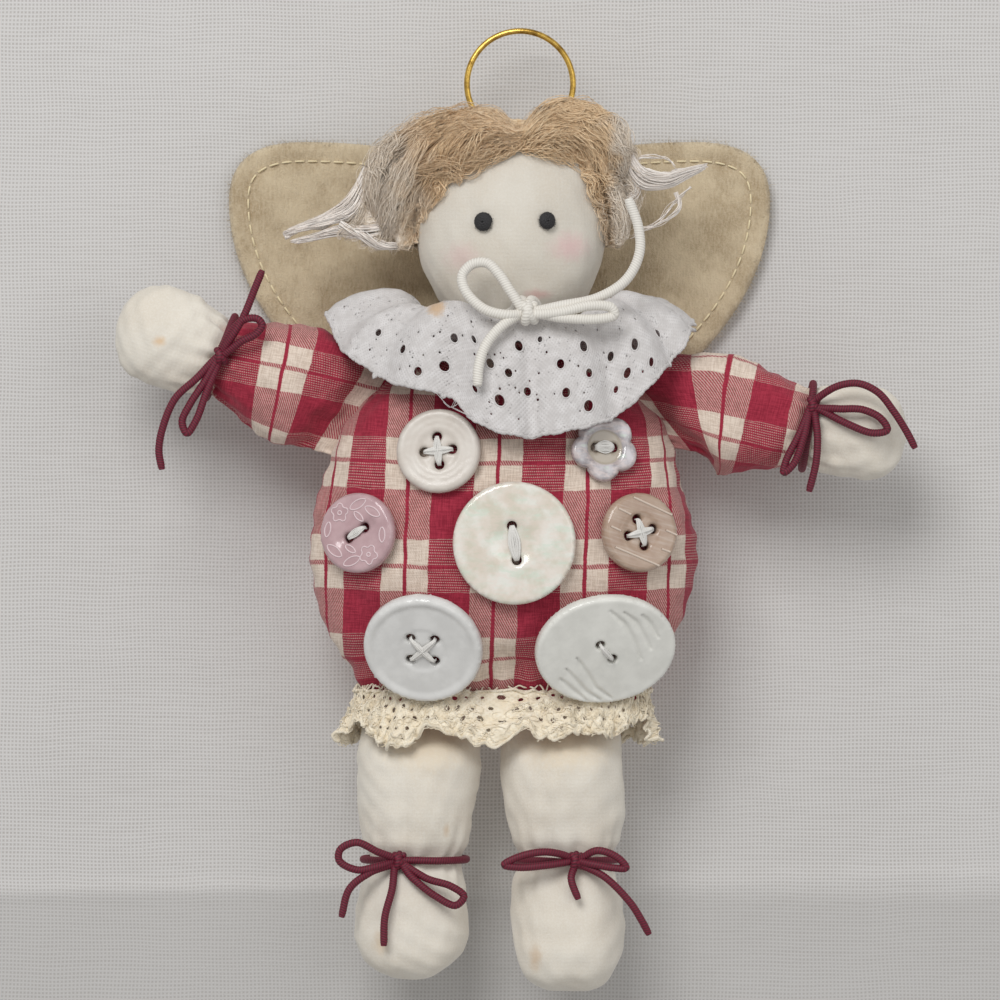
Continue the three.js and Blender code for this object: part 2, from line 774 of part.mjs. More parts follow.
function makeHemLace() {
  const topDrop = torso.height - hemLace.overlap;
  const gap = clearance + hemLace.thickness / 2;
  const topX = torsoHalfWidth(topDrop) + gap;
  const topY = torsoHalfDepth(topDrop) + gap;
  const power = 2 / torso.squareness;
  const bulge = (value) => Math.sign(value) * Math.abs(value) ** power;
  const profile = (angle) => {
    const at = (share) => ({
      across: bulge(Math.cos(angle)) * (topX + hemLace.spread * share),
      through: bulge(Math.sin(angle)) * (topY + hemLace.frontSpread * share),
      z: torsoTopZ - topDrop - hemLace.height * share,
    });
    return [at(0), at(0.5), at(1)];
  };
  const geometry = ruffle({
    centre: vector(torso.x, bodyY, 0),
    profile,
    thickness: hemLace.thickness,
    folds: hemLace.folds,
    foldHeight: hemLace.foldHeight,
    turns: 4 * hemLace.folds,
  });
  add("hem_lace", geometry, crochet);
}

// Bows: one cord each, which goes round the limb and is tied in front of it. The stretches are
// lists of places from the knot: across to the right, forward, and up.

function bow(name, material, { cord, knot, wrap, stretches }) {
  const place = ([x, forward, z]) => vector(knot.x + x, knot.y - forward, knot.z + z);
  const pieces = stretches.map((points) => {
    const route = points.map(place);
    const length = new THREE.CatmullRomCurve3(route).getLength();
    return tube(route, cord.diameter, Math.max(4, Math.round(length / cordStep)));
  });
  pieces.push(tube(wrap, cord.diameter, 18));
  pieces.push(ellipsoid(knot, cord.knot, cord.knot * 0.8, cord.knot, 8, 5));
  add(name, joined(pieces), material);
}

// The cord's way round a limb: an oval in the plane square to the limb, opening at the knot
function wrapAround(middle, across, halfAcross, halfThrough, knot) {
  const points = [knot];
  for (let i = 1; i < 14; i += 1) {
    const angle = -Math.PI / 2 + (2 * Math.PI * i) / 14;
    points.push(middle.clone()
      .addScaledVector(across, halfAcross * Math.cos(angle))
      .addScaledVector(vector(0, 1, 0), halfThrough * Math.sin(angle)));
  }
  points.push(knot);
  return points;
}

// The knot lies on the wrap, and off the middle of the limb by the given distance across it
function limbBow(name, frame, { distance, width, depth, knotAcross, stretches }) {
  const middle = frame.start.clone().addScaledVector(frame.along, distance);
  const room = clearance + limbCord.diameter / 2;
  const knot = middle.clone().addScaledVector(frame.across, knotAcross);
  const curve = Math.sqrt(1 - (knotAcross / (width / 2)) ** 2);
  knot.y -= curve * (depth / 2) + clearance + limbCord.knot * 0.4;
  const wrap = wrapAround(middle, frame.across, width / 2 + room, depth / 2 + room, knot);
  bow(name, wineCord, { cord: limbCord, knot, wrap, stretches });
}

const wristBowLeft = [
  [[0, 0, 0], [2.6, 2, 3.8], [5, 2.4, 8], [7, 2, 13], [8.6, 1.6, 17]],
  [[0, 0, 0], [2.6, 1.6, 5], [5, 2.6, 7.2], [7.6, 3, 7.4], [8.6, 3, 6.2], [7.4, 3, 4.4], [4.6, 2.6, 3],
    [0, 0.6, 0]],
  [[0, 0, 0], [-2.8, 1.8, -5], [-5.6, 2.6, -9.4], [-7.2, 2.8, -13], [-6.2, 3, -15.2], [-4.4, 3, -12.6],
    [-2.6, 2.4, -7.6], [0, 0.6, 0]],
  [[0, 0, 0], [-4.4, 2, -4.4], [-8.6, 2.4, -8.4], [-11, 2.4, -14], [-11.8, 2.2, -18.6], [-11.2, 2, -22.4]],
];
const wristBowRight = [
  [[0, 0, 0], [4.4, 2, 3.6], [9, 3, 4.4], [13, 3.2, 2.6], [16, 3, -1], [18.6, 2.4, -5], [20.4, 2, -8.4]],
  [[0, 0, 0], [5, 2.2, -0.6], [10, 3, -0.8], [13.6, 3.2, -2.6], [14.8, 3, -4.8], [12, 2.8, -5.4],
    [7, 2.4, -3.6], [0, 0.6, 0]],
  [[0, 0, 0], [-2.6, 2, -5.8], [-5.2, 2.8, -11], [-5.6, 3, -13.2], [-3.6, 3, -11.4], [-1.6, 2.4, -6],
    [0, 0.6, 0]],
  [[0, 0, 0], [1, 2, -5], [0.8, 2.4, -11], [-0.6, 2, -17]],
];
const ankleBowLeft = [
  [[0, 0, 0], [-4, 2, 2], [-8, 2.6, 3.8], [-11.2, 2.4, 2.4], [-11.4, 2.2, 0.2], [-8, 2.4, -1.6], [-4, 2, -1],
    [0, 0.6, 0]],
  [[0, 0, 0], [6, 2, -3.4], [10.6, 2.8, -4.8], [13.2, 2.8, -6.8], [11.6, 2.8, -8.6], [7.6, 2.6, -6.8],
    [3, 2, -3.2], [0, 0.6, 0]],
  [[0, 0, 0], [-5.4, 2, -2.2], [-9.4, 2.4, -5.4], [-11, 2.2, -11]],
  [[0, 0, 0], [-1, 2.6, -5.6], [-2.4, 3.6, -11], [-2.6, 3.6, -16.6]],
];
const ankleBowRight = [
  [[0, 0, 0], [-5, 2, 2.2], [-10.6, 2.6, 1.6], [-13.8, 2.4, -0.8], [-10.6, 2.4, -1.8], [-5.4, 2, -1.2],
    [0, 0.6, 0]],
  [[0, 0, 0], [4.6, 2, 2.4], [8.6, 2.4, 1.4], [10.2, 2.4, -1], [7.4, 2.4, -1.8], [3.6, 2, -1],
    [0, 0.6, 0]],
  [[0, 0, 0], [-0.6, 2, -3.4], [0.8, 2.6, -7.4]],
  [[0, 0, 0], [6, 2.2, -3], [11, 2.6, -8], [13.2, 2.4, -11.4], [14.8, 2, -14.4]],
];
const neckBow = [
  [[0, 0, 0], [-4, 1.6, -0.4], [-8.4, 1.2, 0.8], [-12, 0.2, 4.4], [-12.6, -0.6, 7.4], [-10.6, -0.8, 9.6],
    [-7.8, -0.6, 9.8], [-5.4, 0, 7.6], [-3, 0.6, 4], [0, 0.4, 0]],
  [[0, 0, 0], [6.8, 1, 1.4], [14, -0.6, 3], [19.6, -2, 6.6], [22.2, -2.6, 11.8], [22, -3, 17],
    [20, -3, 22.6]],
  [[0, 0, 0], [6, 1.8, 0], [12.6, 1.8, 1.4], [16.6, 1.2, 1], [17.2, 1, -0.4], [14, 1.4, -1.2],
    [7, 1.6, -1], [0, 0.4, 0]],
  [[0, 0, 0], [-4.6, 1.8, -2.4], [-8, 3.2, -6.4], [-9.4, 4.4, -10.8], [-9.6, 5, -14.4]],
];

// The neck cord lies in the collar's gathers, and climbs over the crest to a knot in front of it
function makeNeckBow() {
  const room = clearance + neckCord.diameter / 2;
  const crestShare = 0.55;
  const crestFront = bodyY - THREE.MathUtils.lerp(collar.gatherDepth / 2, collar.frontReach, crestShare);
  const crestZ = neckZ + collar.thickness + collar.frontCrest + collar.foldHeight / 2;
  const knotY = crestFront - neckCord.knotForward - neckCord.diameter / 2;
  const knot = vector(head.x + neckCord.knotRight, knotY, crestZ - neckCord.knotDrop);
  const ringZ = neckZ + collar.thickness + collar.foldHeight / 3 + room;
  const middle = vector(head.x, bodyY - neckCord.forward, ringZ);
  const halfAcross = collar.gatherWidth / 2 + neckCord.roomAcross + neckCord.diameter / 2;
  const halfThrough = collar.gatherDepth / 2 + neckCord.roomThrough + neckCord.diameter / 2;
  const ellipse = wrapAround(middle, vector(1, 0, 0), halfAcross, halfThrough, knot).slice(2, -2);
  const front = middle.y - halfThrough;
  const over = (side, share) => {
    const y = THREE.MathUtils.lerp(front, crestFront, share);
    const z = THREE.MathUtils.lerp(ringZ, crestZ + room + clearance, Math.sin((Math.PI / 2) * share));
    return vector(knot.x + side * neckCord.spread * (1.3 - share), y, z);
  };
  const climb = [0.4, 0.75, 1];
  const before = climb.map((share) => over(1, share)).reverse();
  const after = climb.map((share) => over(-1, share));
  const wrap = [knot, ...before, ...ellipse, ...after, knot];
  bow("neck_bow", creamCord, { cord: neckCord, knot, wrap, stretches: neckBow });
}

// Buttons and the thread that holds each one

function holePlaces(button) {
  return Array.from({ length: button.holes }, (_, i) => {
    const angle = THREE.MathUtils.degToRad(button.turn + (360 * i) / button.holes);
    return new THREE.Vector2(Math.cos(angle), Math.sin(angle)).multiplyScalar(button.holeCircle / 2);
  });
}

function buttonBody(button) {
  const radius = button.diameter / 2;
  const edge = button.thickness * 0.3;
  const top = button.thickness;
  const dishRadius = radius - button.rim;
  if (button.petals) {
    const outline = new THREE.Shape(Array.from({ length: 8 * button.petals }, (_, i) => {
      const angle = (2 * Math.PI * i) / (8 * button.petals) + THREE.MathUtils.degToRad(button.petalTurn);
      const lobe = Math.abs(Math.cos((Math.PI * i) / 8));
      return new THREE.Vector2(Math.cos(angle), Math.sin(angle)).multiplyScalar(radius * (0.8 + 0.2 * lobe));
    }));
    const plate = new THREE.ExtrudeGeometry(outline, { depth: top, bevelEnabled: false });
    const dish = new THREE.CylinderGeometry(dishRadius, dishRadius, top, 18);
    dish.rotateX(Math.PI / 2);
    dish.translate(0, 0, top * 1.5 - button.dish);
    return without(plate, [dish]);
  }
  const profile = [
    [0, 0], [radius - edge, 0], [radius, edge], [radius, top - edge], [radius - edge, top],
    [dishRadius, top], [dishRadius - button.dish, top - button.dish], [0, top - button.dish],
  ].map(([r, z]) => new THREE.Vector2(r, z));
  const body = new THREE.LatheGeometry(profile, 22);
  body.rotateX(Math.PI / 2);
  body.scale((button.longDiameter ?? button.diameter) / button.diameter, 1, 1);
  return body;
}

function makeButton(name, button) {
  const { point, outward } = frontPoint(button.across * torso.width, button.down * torso.height);
  const frame = frameOn(point.addScaledVector(outward, clearance), outward);
  const holes = holePlaces(button);
  const drills = holes.map((hole) => {
    const drill = new THREE.CylinderGeometry(buttonHole / 2, buttonHole / 2, 3 * button.thickness, 8);
    drill.rotateX(Math.PI / 2);
    drill.translate(hole.x, hole.y, button.thickness / 2);
    return drill;
  });
  const body = without(buttonBody(button), drills);
  body.applyMatrix4(frame);
  const color = new THREE.MeshStandardMaterial({ color: button.color, roughness: 0.35, metalness: 0 });
  add(`button_${name}`, body, color);

  const crown = button.thickness - button.dish + clearance + buttonThread / 2;
  const half = holes.length / 2;
  const staples = holes.slice(0, half).map((hole, i) => {
    const other = holes[i + half];
    const points = [
      vector(hole.x, hole.y, 0),
      vector(hole.x, hole.y, crown * 0.7),
      vector(hole.x * 0.8, hole.y * 0.8, crown),
      vector(other.x * 0.8, other.y * 0.8, crown),
      vector(other.x, other.y, crown * 0.7),
      vector(other.x, other.y, 0),
    ];
    return tube(points, buttonThread, 7, 5);
  });
  const thread = joined(staples);
  thread.applyMatrix4(frame);
  add(`thread_${name}`, thread, whiteThread);
}

// Assembly

add("torso", torsoShape(), plaid);
makeHead();
makeHair();
makeEye("eye_left", eyes.left);
makeEye("eye_right", eyes.right);
makeRing();
makeRingTack();
makeCollar();
makeHemLace();
makeWings();
makeSleeve("sleeve_left", leftArm);
makeSleeve("sleeve_right", rightArm);
makeHand("hand_left", leftArm);
makeHand("hand_right", rightArm);
makeLeg("leg_left", leftLeg);
makeLeg("leg_right", rightLeg);
Object.entries(buttons).forEach(([name, button]) => makeButton(name, button));
makeNeckBow();
const wrist = { width: arms.wristWidth, depth: arms.wristDepth };
const ankle = { distance: legs.ankleDrop, width: legs.ankleWidth, depth: legs.ankleDepth };
limbBow("wrist_bow_left", armFrame(leftArm), {
  ...wrist, distance: leftArm.sleeveLength, knotAcross: leftArm.knotAcross, stretches: wristBowLeft,
});
limbBow("wrist_bow_right", armFrame(rightArm), {
  ...wrist, distance: rightArm.sleeveLength, knotAcross: rightArm.knotAcross, stretches: wristBowRight,
});
limbBow("ankle_bow_left", legFrame(leftLeg), {
  ...ankle, knotAcross: leftLeg.knotAcross, stretches: ankleBowLeft,
});
limbBow("ankle_bow_right", legFrame(rightLeg), {
  ...ankle, knotAcross: rightLeg.knotAcross, stretches: ankleBowRight,
});

// Where each moving piece turns, and the line it turns about
const leftArmFrame = armFrame(leftArm);
const rightArmFrame = armFrame(rightArm);
doll.userData.hinges = {
  neck: { at: vector(head.x, bodyY, neckZ - clearance / 2), about: vector(1, 0, 0) },
  ring: { at: vector(0, 0, ringFootZ), about: vector(1, 0, 0) },
  leftShoulder: { at: leftArmFrame.start, about: leftArmFrame.seam },
  rightShoulder: { at: rightArmFrame.start, about: rightArmFrame.seam.negate() },
  leftHip: { at: legFrame(leftLeg).start, about: vector(-1, 0, 0) },
  rightHip: { at: legFrame(rightLeg).start, about: vector(-1, 0, 0) },
};

export default doll;
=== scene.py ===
# The angel doll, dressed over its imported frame
import math

import bpy
import numpy as np
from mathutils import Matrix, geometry, kdtree


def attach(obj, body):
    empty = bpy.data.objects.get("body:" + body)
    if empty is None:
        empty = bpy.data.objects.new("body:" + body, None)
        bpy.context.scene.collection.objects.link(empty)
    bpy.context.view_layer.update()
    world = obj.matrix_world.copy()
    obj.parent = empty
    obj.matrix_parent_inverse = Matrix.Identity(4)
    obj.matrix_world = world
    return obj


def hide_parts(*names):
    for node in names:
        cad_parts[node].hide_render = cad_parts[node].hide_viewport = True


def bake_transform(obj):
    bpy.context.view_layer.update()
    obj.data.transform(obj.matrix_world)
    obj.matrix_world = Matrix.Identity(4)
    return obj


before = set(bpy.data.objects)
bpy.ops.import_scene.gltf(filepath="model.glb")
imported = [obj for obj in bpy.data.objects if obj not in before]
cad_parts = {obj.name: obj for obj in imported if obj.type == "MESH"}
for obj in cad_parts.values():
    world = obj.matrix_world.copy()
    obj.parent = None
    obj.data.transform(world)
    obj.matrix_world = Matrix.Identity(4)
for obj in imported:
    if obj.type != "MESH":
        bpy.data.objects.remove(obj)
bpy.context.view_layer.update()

# Sizes in millimetres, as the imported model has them
MM = 0.001
CLEARANCE = 0.3
SEAM_GAP = 0.75
BODY_Y = -8.35
NECK_Z = -61.6
HEAD = {"x": -1.6, "z": -39.6, "width": 37.6, "depth": 28.0, "height": 44.0}
RING = {"radius": 10.6, "wire": 0.6, "z": -10.0}
TORSO = {"x": -3.4, "top": -61.9, "height": 72.0, "squareness": 2.5}
WINGS_Y = 9.95
ARM = {
    "seam_drop": 13.0, "seam_width": 26.0, "sleeve_width": 24.4, "sleeve_depth": 18.0,
    "wrist_width": 15.0, "wrist_depth": 12.6, "hand_depth": 15.0,
}
LEFT_ARM = {"side": -1, "rise": 19.6, "sleeve": 28.6, "hand": 21.2, "hand_width": 20.0, "knot_across": 0.0}
RIGHT_ARM = {"side": 1, "rise": -7.5, "sleeve": 31.6, "hand": 19.6, "hand_width": 18.6, "knot_across": 4.0}
LEG = {
    "top_width": 22.6, "width": 24.4, "depth": 20.0, "ankle_drop": 30.0, "ankle_width": 18.4,
    "ankle_depth": 14.0, "foot_width": 22.4, "foot_depth": 18.5, "toe_forward": 2.4,
}
LEFT_LEG = {"x": -16.2, "lean": -2.4, "reach": 54.0, "knot_across": -3.4, "crease": -2.2}
RIGHT_LEG = {"x": 11.4, "lean": 2.0, "reach": 56.4, "knot_across": 1.6, "crease": -3.0}
LIMB_CORD = {"diameter": 1.5, "knot": 3.6, "ribs": 0.5, "relief": 0.04}
NECK_CORD = {"diameter": 2.0, "ribs": 0.5, "relief": 0.02}
# How far the plaits of a braided cord slant, and how long its tapered ends are
RIB_SLANT = 2.2
CORD_TAPER = 1.2


# Small helpers

def unit(vectors):
    size = np.linalg.norm(vectors, axis=-1, keepdims=True)
    return vectors / np.maximum(size, 1e-12)


def ease(x, low, high):
    share = np.clip((x - low) / (high - low), 0, 1)
    return share * share * (3 - 2 * share)


def between(a, b, share):
    return a + (b - a) * share


def fade_out(x, low, high):
    """1 up to low and 0 beyond high"""
    return ease(-x, -high, -low)


def bump(distance, width):
    """1 at no distance, and next to nothing beyond twice the width"""
    return np.exp(-(distance / width) ** 2)


def rounded_off(share, least=0.0):
    """How much of a round edge is gone at a share of the way in from it"""
    return 1 - np.sqrt(np.clip(1 - (1 - np.clip(share, 0, 1)) ** 2, least, 1))


def detail(full, quick):
    return full


def even_turn(count):
    """Angles spread evenly over a whole turn"""
    return 2 * np.pi * np.arange(count) / count


def squared_off(values, power):
    """Sines or cosines that go round a squarer shape: 2 gives an oval, and more gives fuller corners"""
    return np.sign(values) * np.abs(values) ** (2 / power)


def distances_along(line):
    """How far along a line each of its points lies"""
    return np.concatenate([[0], np.cumsum(np.linalg.norm(np.diff(line, axis=0), axis=1))])


def picked(line, spots, marks=None):
    """Points of a line at spots, which count its points or go by the marks given for them"""
    marks = np.arange(len(line)) if marks is None else marks
    return np.stack([np.interp(spots, marks, values) for values in line.T], -1)


def curve_through(points):
    """A smooth curve through the given places, which never overshoots them"""
    xs, ys = np.array(points, float).T
    chords = np.diff(ys) / np.diff(xs)
    slopes = np.concatenate([chords[:1], np.zeros(len(xs) - 2), chords[-1:]])
    for i in range(1, len(xs) - 1):
        before, after = chords[i - 1], chords[i]
        slopes[i] = 0 if before * after <= 0 else 2 * before * after / (before + after)

    def at(x):
        x = np.asarray(x, float)
        i = np.clip(np.searchsorted(xs, x, side="right") - 1, 0, len(xs) - 2)
        span = xs[i + 1] - xs[i]
        t = np.clip((x - xs[i]) / span, 0, 1)
        rise = ys[i + 1] - ys[i]
        start = slopes[i] * span
        end = slopes[i + 1] * span
        return ys[i] + t * start + t * t * (3 * rise - 2 * start - end) + t ** 3 * (start + end - 2 * rise)

    return at


def lumps(points, size, seed):
    """A smooth uneven height over points in space, mostly from -1 to 1"""
    waves = 9
    source = np.random.default_rng(seed)
    total = np.zeros(points.shape[:-1])
    for _ in range(waves):
        direction = unit(source.normal(size=3)) * source.uniform(0.6, 1.6) * 2 * np.pi / size
        total += np.sin(points @ direction + source.uniform(0, 2 * np.pi))
    return total / math.sqrt(waves)


def along_line(points, step):
    """Points a step apart along a smooth curve through the given places"""
    places = [np.array(points[0], float)]
    for point in points[1:]:
        if np.linalg.norm(np.array(point) - places[-1]) > 0.2:
            places.append(np.array(point, float))
    places = np.array(places)
    whole = np.concatenate([[2 * places[0] - places[1]], places, [2 * places[-1] - places[-2]]])
    gaps = np.sqrt(np.linalg.norm(np.diff(whole, axis=0), axis=1))
    fine = []
    t = np.linspace(0, 1, 40, endpoint=False)[:, None]
    for i in range(1, len(whole) - 2):
        before, own, after = gaps[i - 1], gaps[i], gaps[i + 1]
        a, b, c, d = whole[i - 1:i + 3]
        start = own * ((b - a) / before - (c - a) / (before + own) + (c - b) / own)
        end = own * ((c - b) / own - (d - b) / (own + after) + (d - c) / after)
        rise = c - b
        fine.append(b + t * start + t * t * (3 * rise - 2 * start - end) + t ** 3 * (start + end - 2 * rise))
    fine = np.concatenate(fine + [whole[-2:-1]])
    run = distances_along(fine)
    even = np.linspace(0, run[-1], max(2, int(round(run[-1] / step)) + 1))
    return picked(fine, even, run)


def carried_frames(path):
    """Two directions across a path at each of its points, which turn with it and don't twist"""
    tangents = unit(np.gradient(path, axis=0))
    side = np.cross(tangents[0], [0.2, 1.0, 0.3])
    sides = [side / np.linalg.norm(side)]
    for tangent in tangents[1:]:
        side = sides[-1] - tangent * (sides[-1] @ tangent)
        sides.append(side / np.linalg.norm(side))
    sides = np.array(sides)
    return sides, np.cross(tangents, sides)


# Meshes

def make(name, points, faces, finish, cloth=None):
    """A mesh object from points in millimetres; cloth has a flat place in millimetres for each corner"""
    groups = faces if isinstance(faces, list) else [faces]
    sizes = np.concatenate([np.full(len(group), group.shape[1]) for group in groups])
    corners = np.concatenate([group.ravel() for group in groups]).astype(np.int32)
    mesh = bpy.data.meshes.new(name)
    mesh.vertices.add(len(points))
    mesh.vertices.foreach_set("co", (np.asarray(points) * MM).astype(np.float32).ravel())
    mesh.loops.add(len(corners))
    mesh.loops.foreach_set("vertex_index", corners)
    mesh.polygons.add(len(sizes))
    mesh.polygons.foreach_set("loop_start", np.concatenate([[0], np.cumsum(sizes)[:-1]]).astype(np.int32))
    mesh.update(calc_edges=True)
    if cloth is not None:
        mesh.uv_layers.new(name="Cloth").data.foreach_set("uv", np.asarray(cloth, np.float32).ravel())
    mesh.shade_smooth()
    mesh.materials.append(finish.material)
    made = bpy.data.objects.new(name, mesh)
    bpy.context.scene.collection.objects.link(made)
    return made


def settle(made, body, slot, *nodes):
    """The piece rides on a body and stands for the nodes, which it hides; slot is not used"""
    if body is not None:
        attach(made, body)
    if nodes:
        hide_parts(*nodes)
    return made


def grid_faces(rows, columns, closed):
    across = columns if closed else columns - 1
    row, column = np.meshgrid(np.arange(rows - 1), np.arange(across), indexing="ij")
    a = row * columns + column
    b = row * columns + (column + 1) % columns
    return np.stack([a, b, b + columns, a + columns], -1).reshape(-1, 4)


def grid_normals(grid):
    """Outward directions over a grid that is closed along its columns"""
    rightwards = np.roll(grid, -1, 1) - np.roll(grid, 1, 1)
    onwards = np.gradient(grid, axis=0)
    normals = unit(np.cross(rightwards, onwards))
    out = grid - grid.mean(axis=1, keepdims=True)
    return normals if (normals * out).sum() > 0 else -normals


def skin(name, grid, finish, cloth):
    """A closed skin over rings of points, with a point in the middle of each end. cloth gives each
    column of faces the flat places of its own two sides, so that a seam can run between columns"""
    rows, columns = grid.shape[:2]
    points = np.concatenate([grid.reshape(-1, 3), [grid[0].mean(0), grid[-1].mean(0)]])
    quads = grid_faces(rows, columns, True)
    ring = np.arange(columns)
    after = (ring + 1) % columns
    last = (rows - 1) * columns
    first_middle = np.full(columns, rows * columns)
    starts = np.stack([first_middle, after, ring], -1)
    ends = np.stack([first_middle + 1, last + ring, last + after], -1)
    middles = cloth[[0, -1]].mean(axis=(1, 2))
    quad_cloth = np.stack([cloth[:-1, :, 0], cloth[:-1, :, 1], cloth[1:, :, 1], cloth[1:, :, 0]], 2)
    start_cloth = np.stack([np.tile(middles[0], (columns, 1)), cloth[0, :, 1], cloth[0, :, 0]], 1)
    end_cloth = np.stack([np.tile(middles[1], (columns, 1)), cloth[-1, :, 0], cloth[-1, :, 1]], 1)
    a, b, c = points[quads[:, 0]], points[quads[:, 1]], points[quads[:, 2]]
    outside_in = (a * np.cross(b, c)).sum() < 0
    flats = [quad_cloth.reshape(-1, 4, 2), start_cloth, end_cloth]
    faces = [quads, starts, ends]
    if outside_in:
        faces = [group[:, ::-1] for group in faces]
        flats = [flat[:, ::-1] for flat in flats]
    return make(name, points, faces, finish, np.concatenate([flat.reshape(-1, 2) for flat in flats]))


def sides_of(cloth):
    """The two sides of each column of faces, where the flat places run on without a seam"""
    return np.stack([cloth[:, :-1], cloth[:, 1:]], axis=2)


def tubes(name, paths, radii, finish, sides=3):
    """Thin round strands along many paths at once, with a radius for all, for each point or for each
    point of each strand"""
    paths = np.asarray(paths)
    radii = np.broadcast_to(radii, paths.shape[:2])
    tangents = unit(np.gradient(paths, axis=1))
    side = unit(np.cross(tangents, [0.31, 0.87, 0.38]))
    up = np.cross(tangents, side)
    angles = even_turn(sides)
    ring = side[:, :, None] * np.cos(angles)[:, None] + up[:, :, None] * np.sin(angles)[:, None]
    points = paths[:, :, None] + ring * radii[:, :, None, None]
    strands, count = paths.shape[:2]
    faces = grid_faces(count, sides, True)
    every = (np.arange(strands) * count * sides)[:, None, None] + faces
    return make(name, points.reshape(-1, 3), every.reshape(-1, 4), finish)


def cord_tube(name, path, radius, finish, sides=12, ribs=0.55, rib_height=0.08):
    """A braided cord along a path, with its plaits raised as slanting ribs"""
    across, up = carried_frames(path)
    run = distances_along(path)
    angles = even_turn(sides)
    slant = np.abs(np.mod(angles + np.pi, 2 * np.pi) - np.pi)
    if ribs:
        wave = np.cos(2 * np.pi * run[:, None] / ribs + RIB_SLANT * slant[None])
    else:
        wave = np.zeros((len(run), sides))
    end = np.minimum(run, run[-1] - run)
    full = np.where(end < CORD_TAPER, 0.72 + 0.28 * np.sqrt(np.clip(end / CORD_TAPER, 0, 1)), 1)
    reach = radius * full[:, None] * (1 + rib_height * wave)
    ring = across[:, None] * np.cos(angles)[None, :, None] + up[:, None] * np.sin(angles)[None, :, None]
    grid = path[:, None] + ring * reach[..., None]
    around = np.broadcast_to(2 * np.pi * np.arange(sides + 1) / sides, (len(run), sides + 1))
    cloth = np.stack([around, np.broadcast_to(run[:, None], around.shape)], -1)
    return skin(name, grid, finish, sides_of(cloth))


# Finishes, each built from nodes

def tone(red, green, blue):
    share = np.array([red, green, blue]) / 255
    linear = np.where(share <= 0.04045, share / 12.92, ((share + 0.055) / 1.055) ** 2.4)
    return (*linear.tolist(), 1.0)


def node_step(operation, swapped=False):
    """A method that feeds a field and other values to a node for one step of arithmetic"""
    def step(self, *others):
        values = (*others, self) if swapped else (self, *others)
        return self.finish.field("Math", dict(enumerate(values)), operation=operation)

    return step


class Field:
    """A value that varies over a surface; fields add and multiply like numbers"""

    def __init__(self, finish, socket):
        self.finish = finish
        self.socket = socket

    __add__ = __radd__ = node_step("ADD")
    __sub__ = node_step("SUBTRACT")
    __rsub__ = node_step("SUBTRACT", swapped=True)
    __mul__ = __rmul__ = node_step("MULTIPLY")
    __truediv__ = node_step("DIVIDE")
    __pow__ = node_step("POWER")
    maximum = node_step("MAXIMUM")
    minimum = node_step("MINIMUM")
    pingpong = node_step("PINGPONG")
    sine = node_step("SINE")
    cosine = node_step("COSINE")
    root = node_step("SQRT")

    def fade(self, low, high):
        """From 0 at low to 1 at high, softly at both ends"""
        feeds = {"Value": self, "From Min": low, "From Max": high}
        return self.finish.field("MapRange", feeds, interpolation_type="SMOOTHSTEP")


class Finish:
    """A material whose colour and relief come from nodes"""

    def __init__(self, name, **sockets):
        self.material = bpy.data.materials.new(name)
        self.material.use_nodes = True
        self.tree = self.material.node_tree
        self.shader = self.tree.nodes["Principled BSDF"]
        self.tint = None
        for socket, value in sockets.items():
            self.shader.inputs[socket.replace("_", " ")].default_value = value

    def feed(self, socket, value):
        if isinstance(value, Field):
            self.tree.links.new(value.socket, socket)
        else:
            socket.default_value = value

    def node(self, kind, feeds=None, **settings):
        node = self.tree.nodes.new("ShaderNode" + kind)
        for key, value in settings.items():
            setattr(node, key, value)
        for key, value in (feeds or {}).items():
            self.feed(node.inputs[key], value)
        return node

    def field(self, kind, feeds=None, output=0, **settings):
        return Field(self, self.node(kind, feeds, **settings).outputs[output])

    def mix(self, share, a, b):
        return self.field("Mix", {0: share, 6: a, 7: b}, 2, data_type="RGBA")

    def noise(self, place, scale, detail=2.0, roughness=0.5):
        feeds = {"Vector": place, "Scale": scale, "Detail": detail, "Roughness": roughness}
        return self.field("TexNoise", feeds, "Fac")

    def cells(self, place, scale):
        return self.field("TexVoronoi", {"Vector": place, "Scale": scale}, "Distance", feature="F1")

    def place(self):
        """The place on the object, in millimetres"""
        source = self.field("TexCoord", output="Object")
        return self.field("VectorMath", {0: source, "Scale": 1 / MM}, operation="SCALE")

    def cloth(self):
        return self.field("UVMap", uv_map="Cloth")

    def own_shade(self):
        """A value of its own for each strand of a piece"""
        return self.field("NewGeometry", output="Random Per Island")

    def parts(self, vector):
        return [Field(self, output) for output in self.node("SeparateXYZ", {0: vector}).outputs]

    def joined(self, x, y, z=0.0):
        return self.field("CombineXYZ", {0: x, 1: y, 2: z})

    def colour(self, value):
        self.tint = value
        self.feed(self.shader.inputs["Base Color"], value)

    def relief(self, height, distance, strength=1.0):
        feeds = {"Height": height, "Distance": distance * MM, "Strength": strength}
        self.feed(self.shader.inputs["Normal"], self.field("Bump", feeds))


def speckled(name, scale, detail, dark, light, relief=0.0, **sockets):
    """A finish that wavers between two colours, with a fine relief"""
    finish = Finish(name, **sockets)
    grain = finish.noise(finish.place(), scale, detail)
    finish.colour(finish.mix(grain, dark, light))
    if relief:
        finish.relief(grain, relief)
    return finish


# Camera: the photograph is taken square on, its middle at this place, and its frame this wide

VIEW = {"x": -4.0, "z": -93.2, "field": 200.0, "distance": 1500.0}


def set_camera():
    data = bpy.data.cameras.new("camera")
    data.sensor_width = 36
    data.lens = 36 * VIEW["distance"] / VIEW["field"]
    data.clip_start = 0.05
    data.clip_end = 20
    camera = bpy.data.objects.new("camera", data)
    camera.location = (VIEW["x"] * MM, -VIEW["distance"] * MM, VIEW["z"] * MM)
    camera.rotation_euler = (math.pi / 2, 0, 0)
    bpy.context.scene.collection.objects.link(camera)
    bpy.context.scene.camera = camera


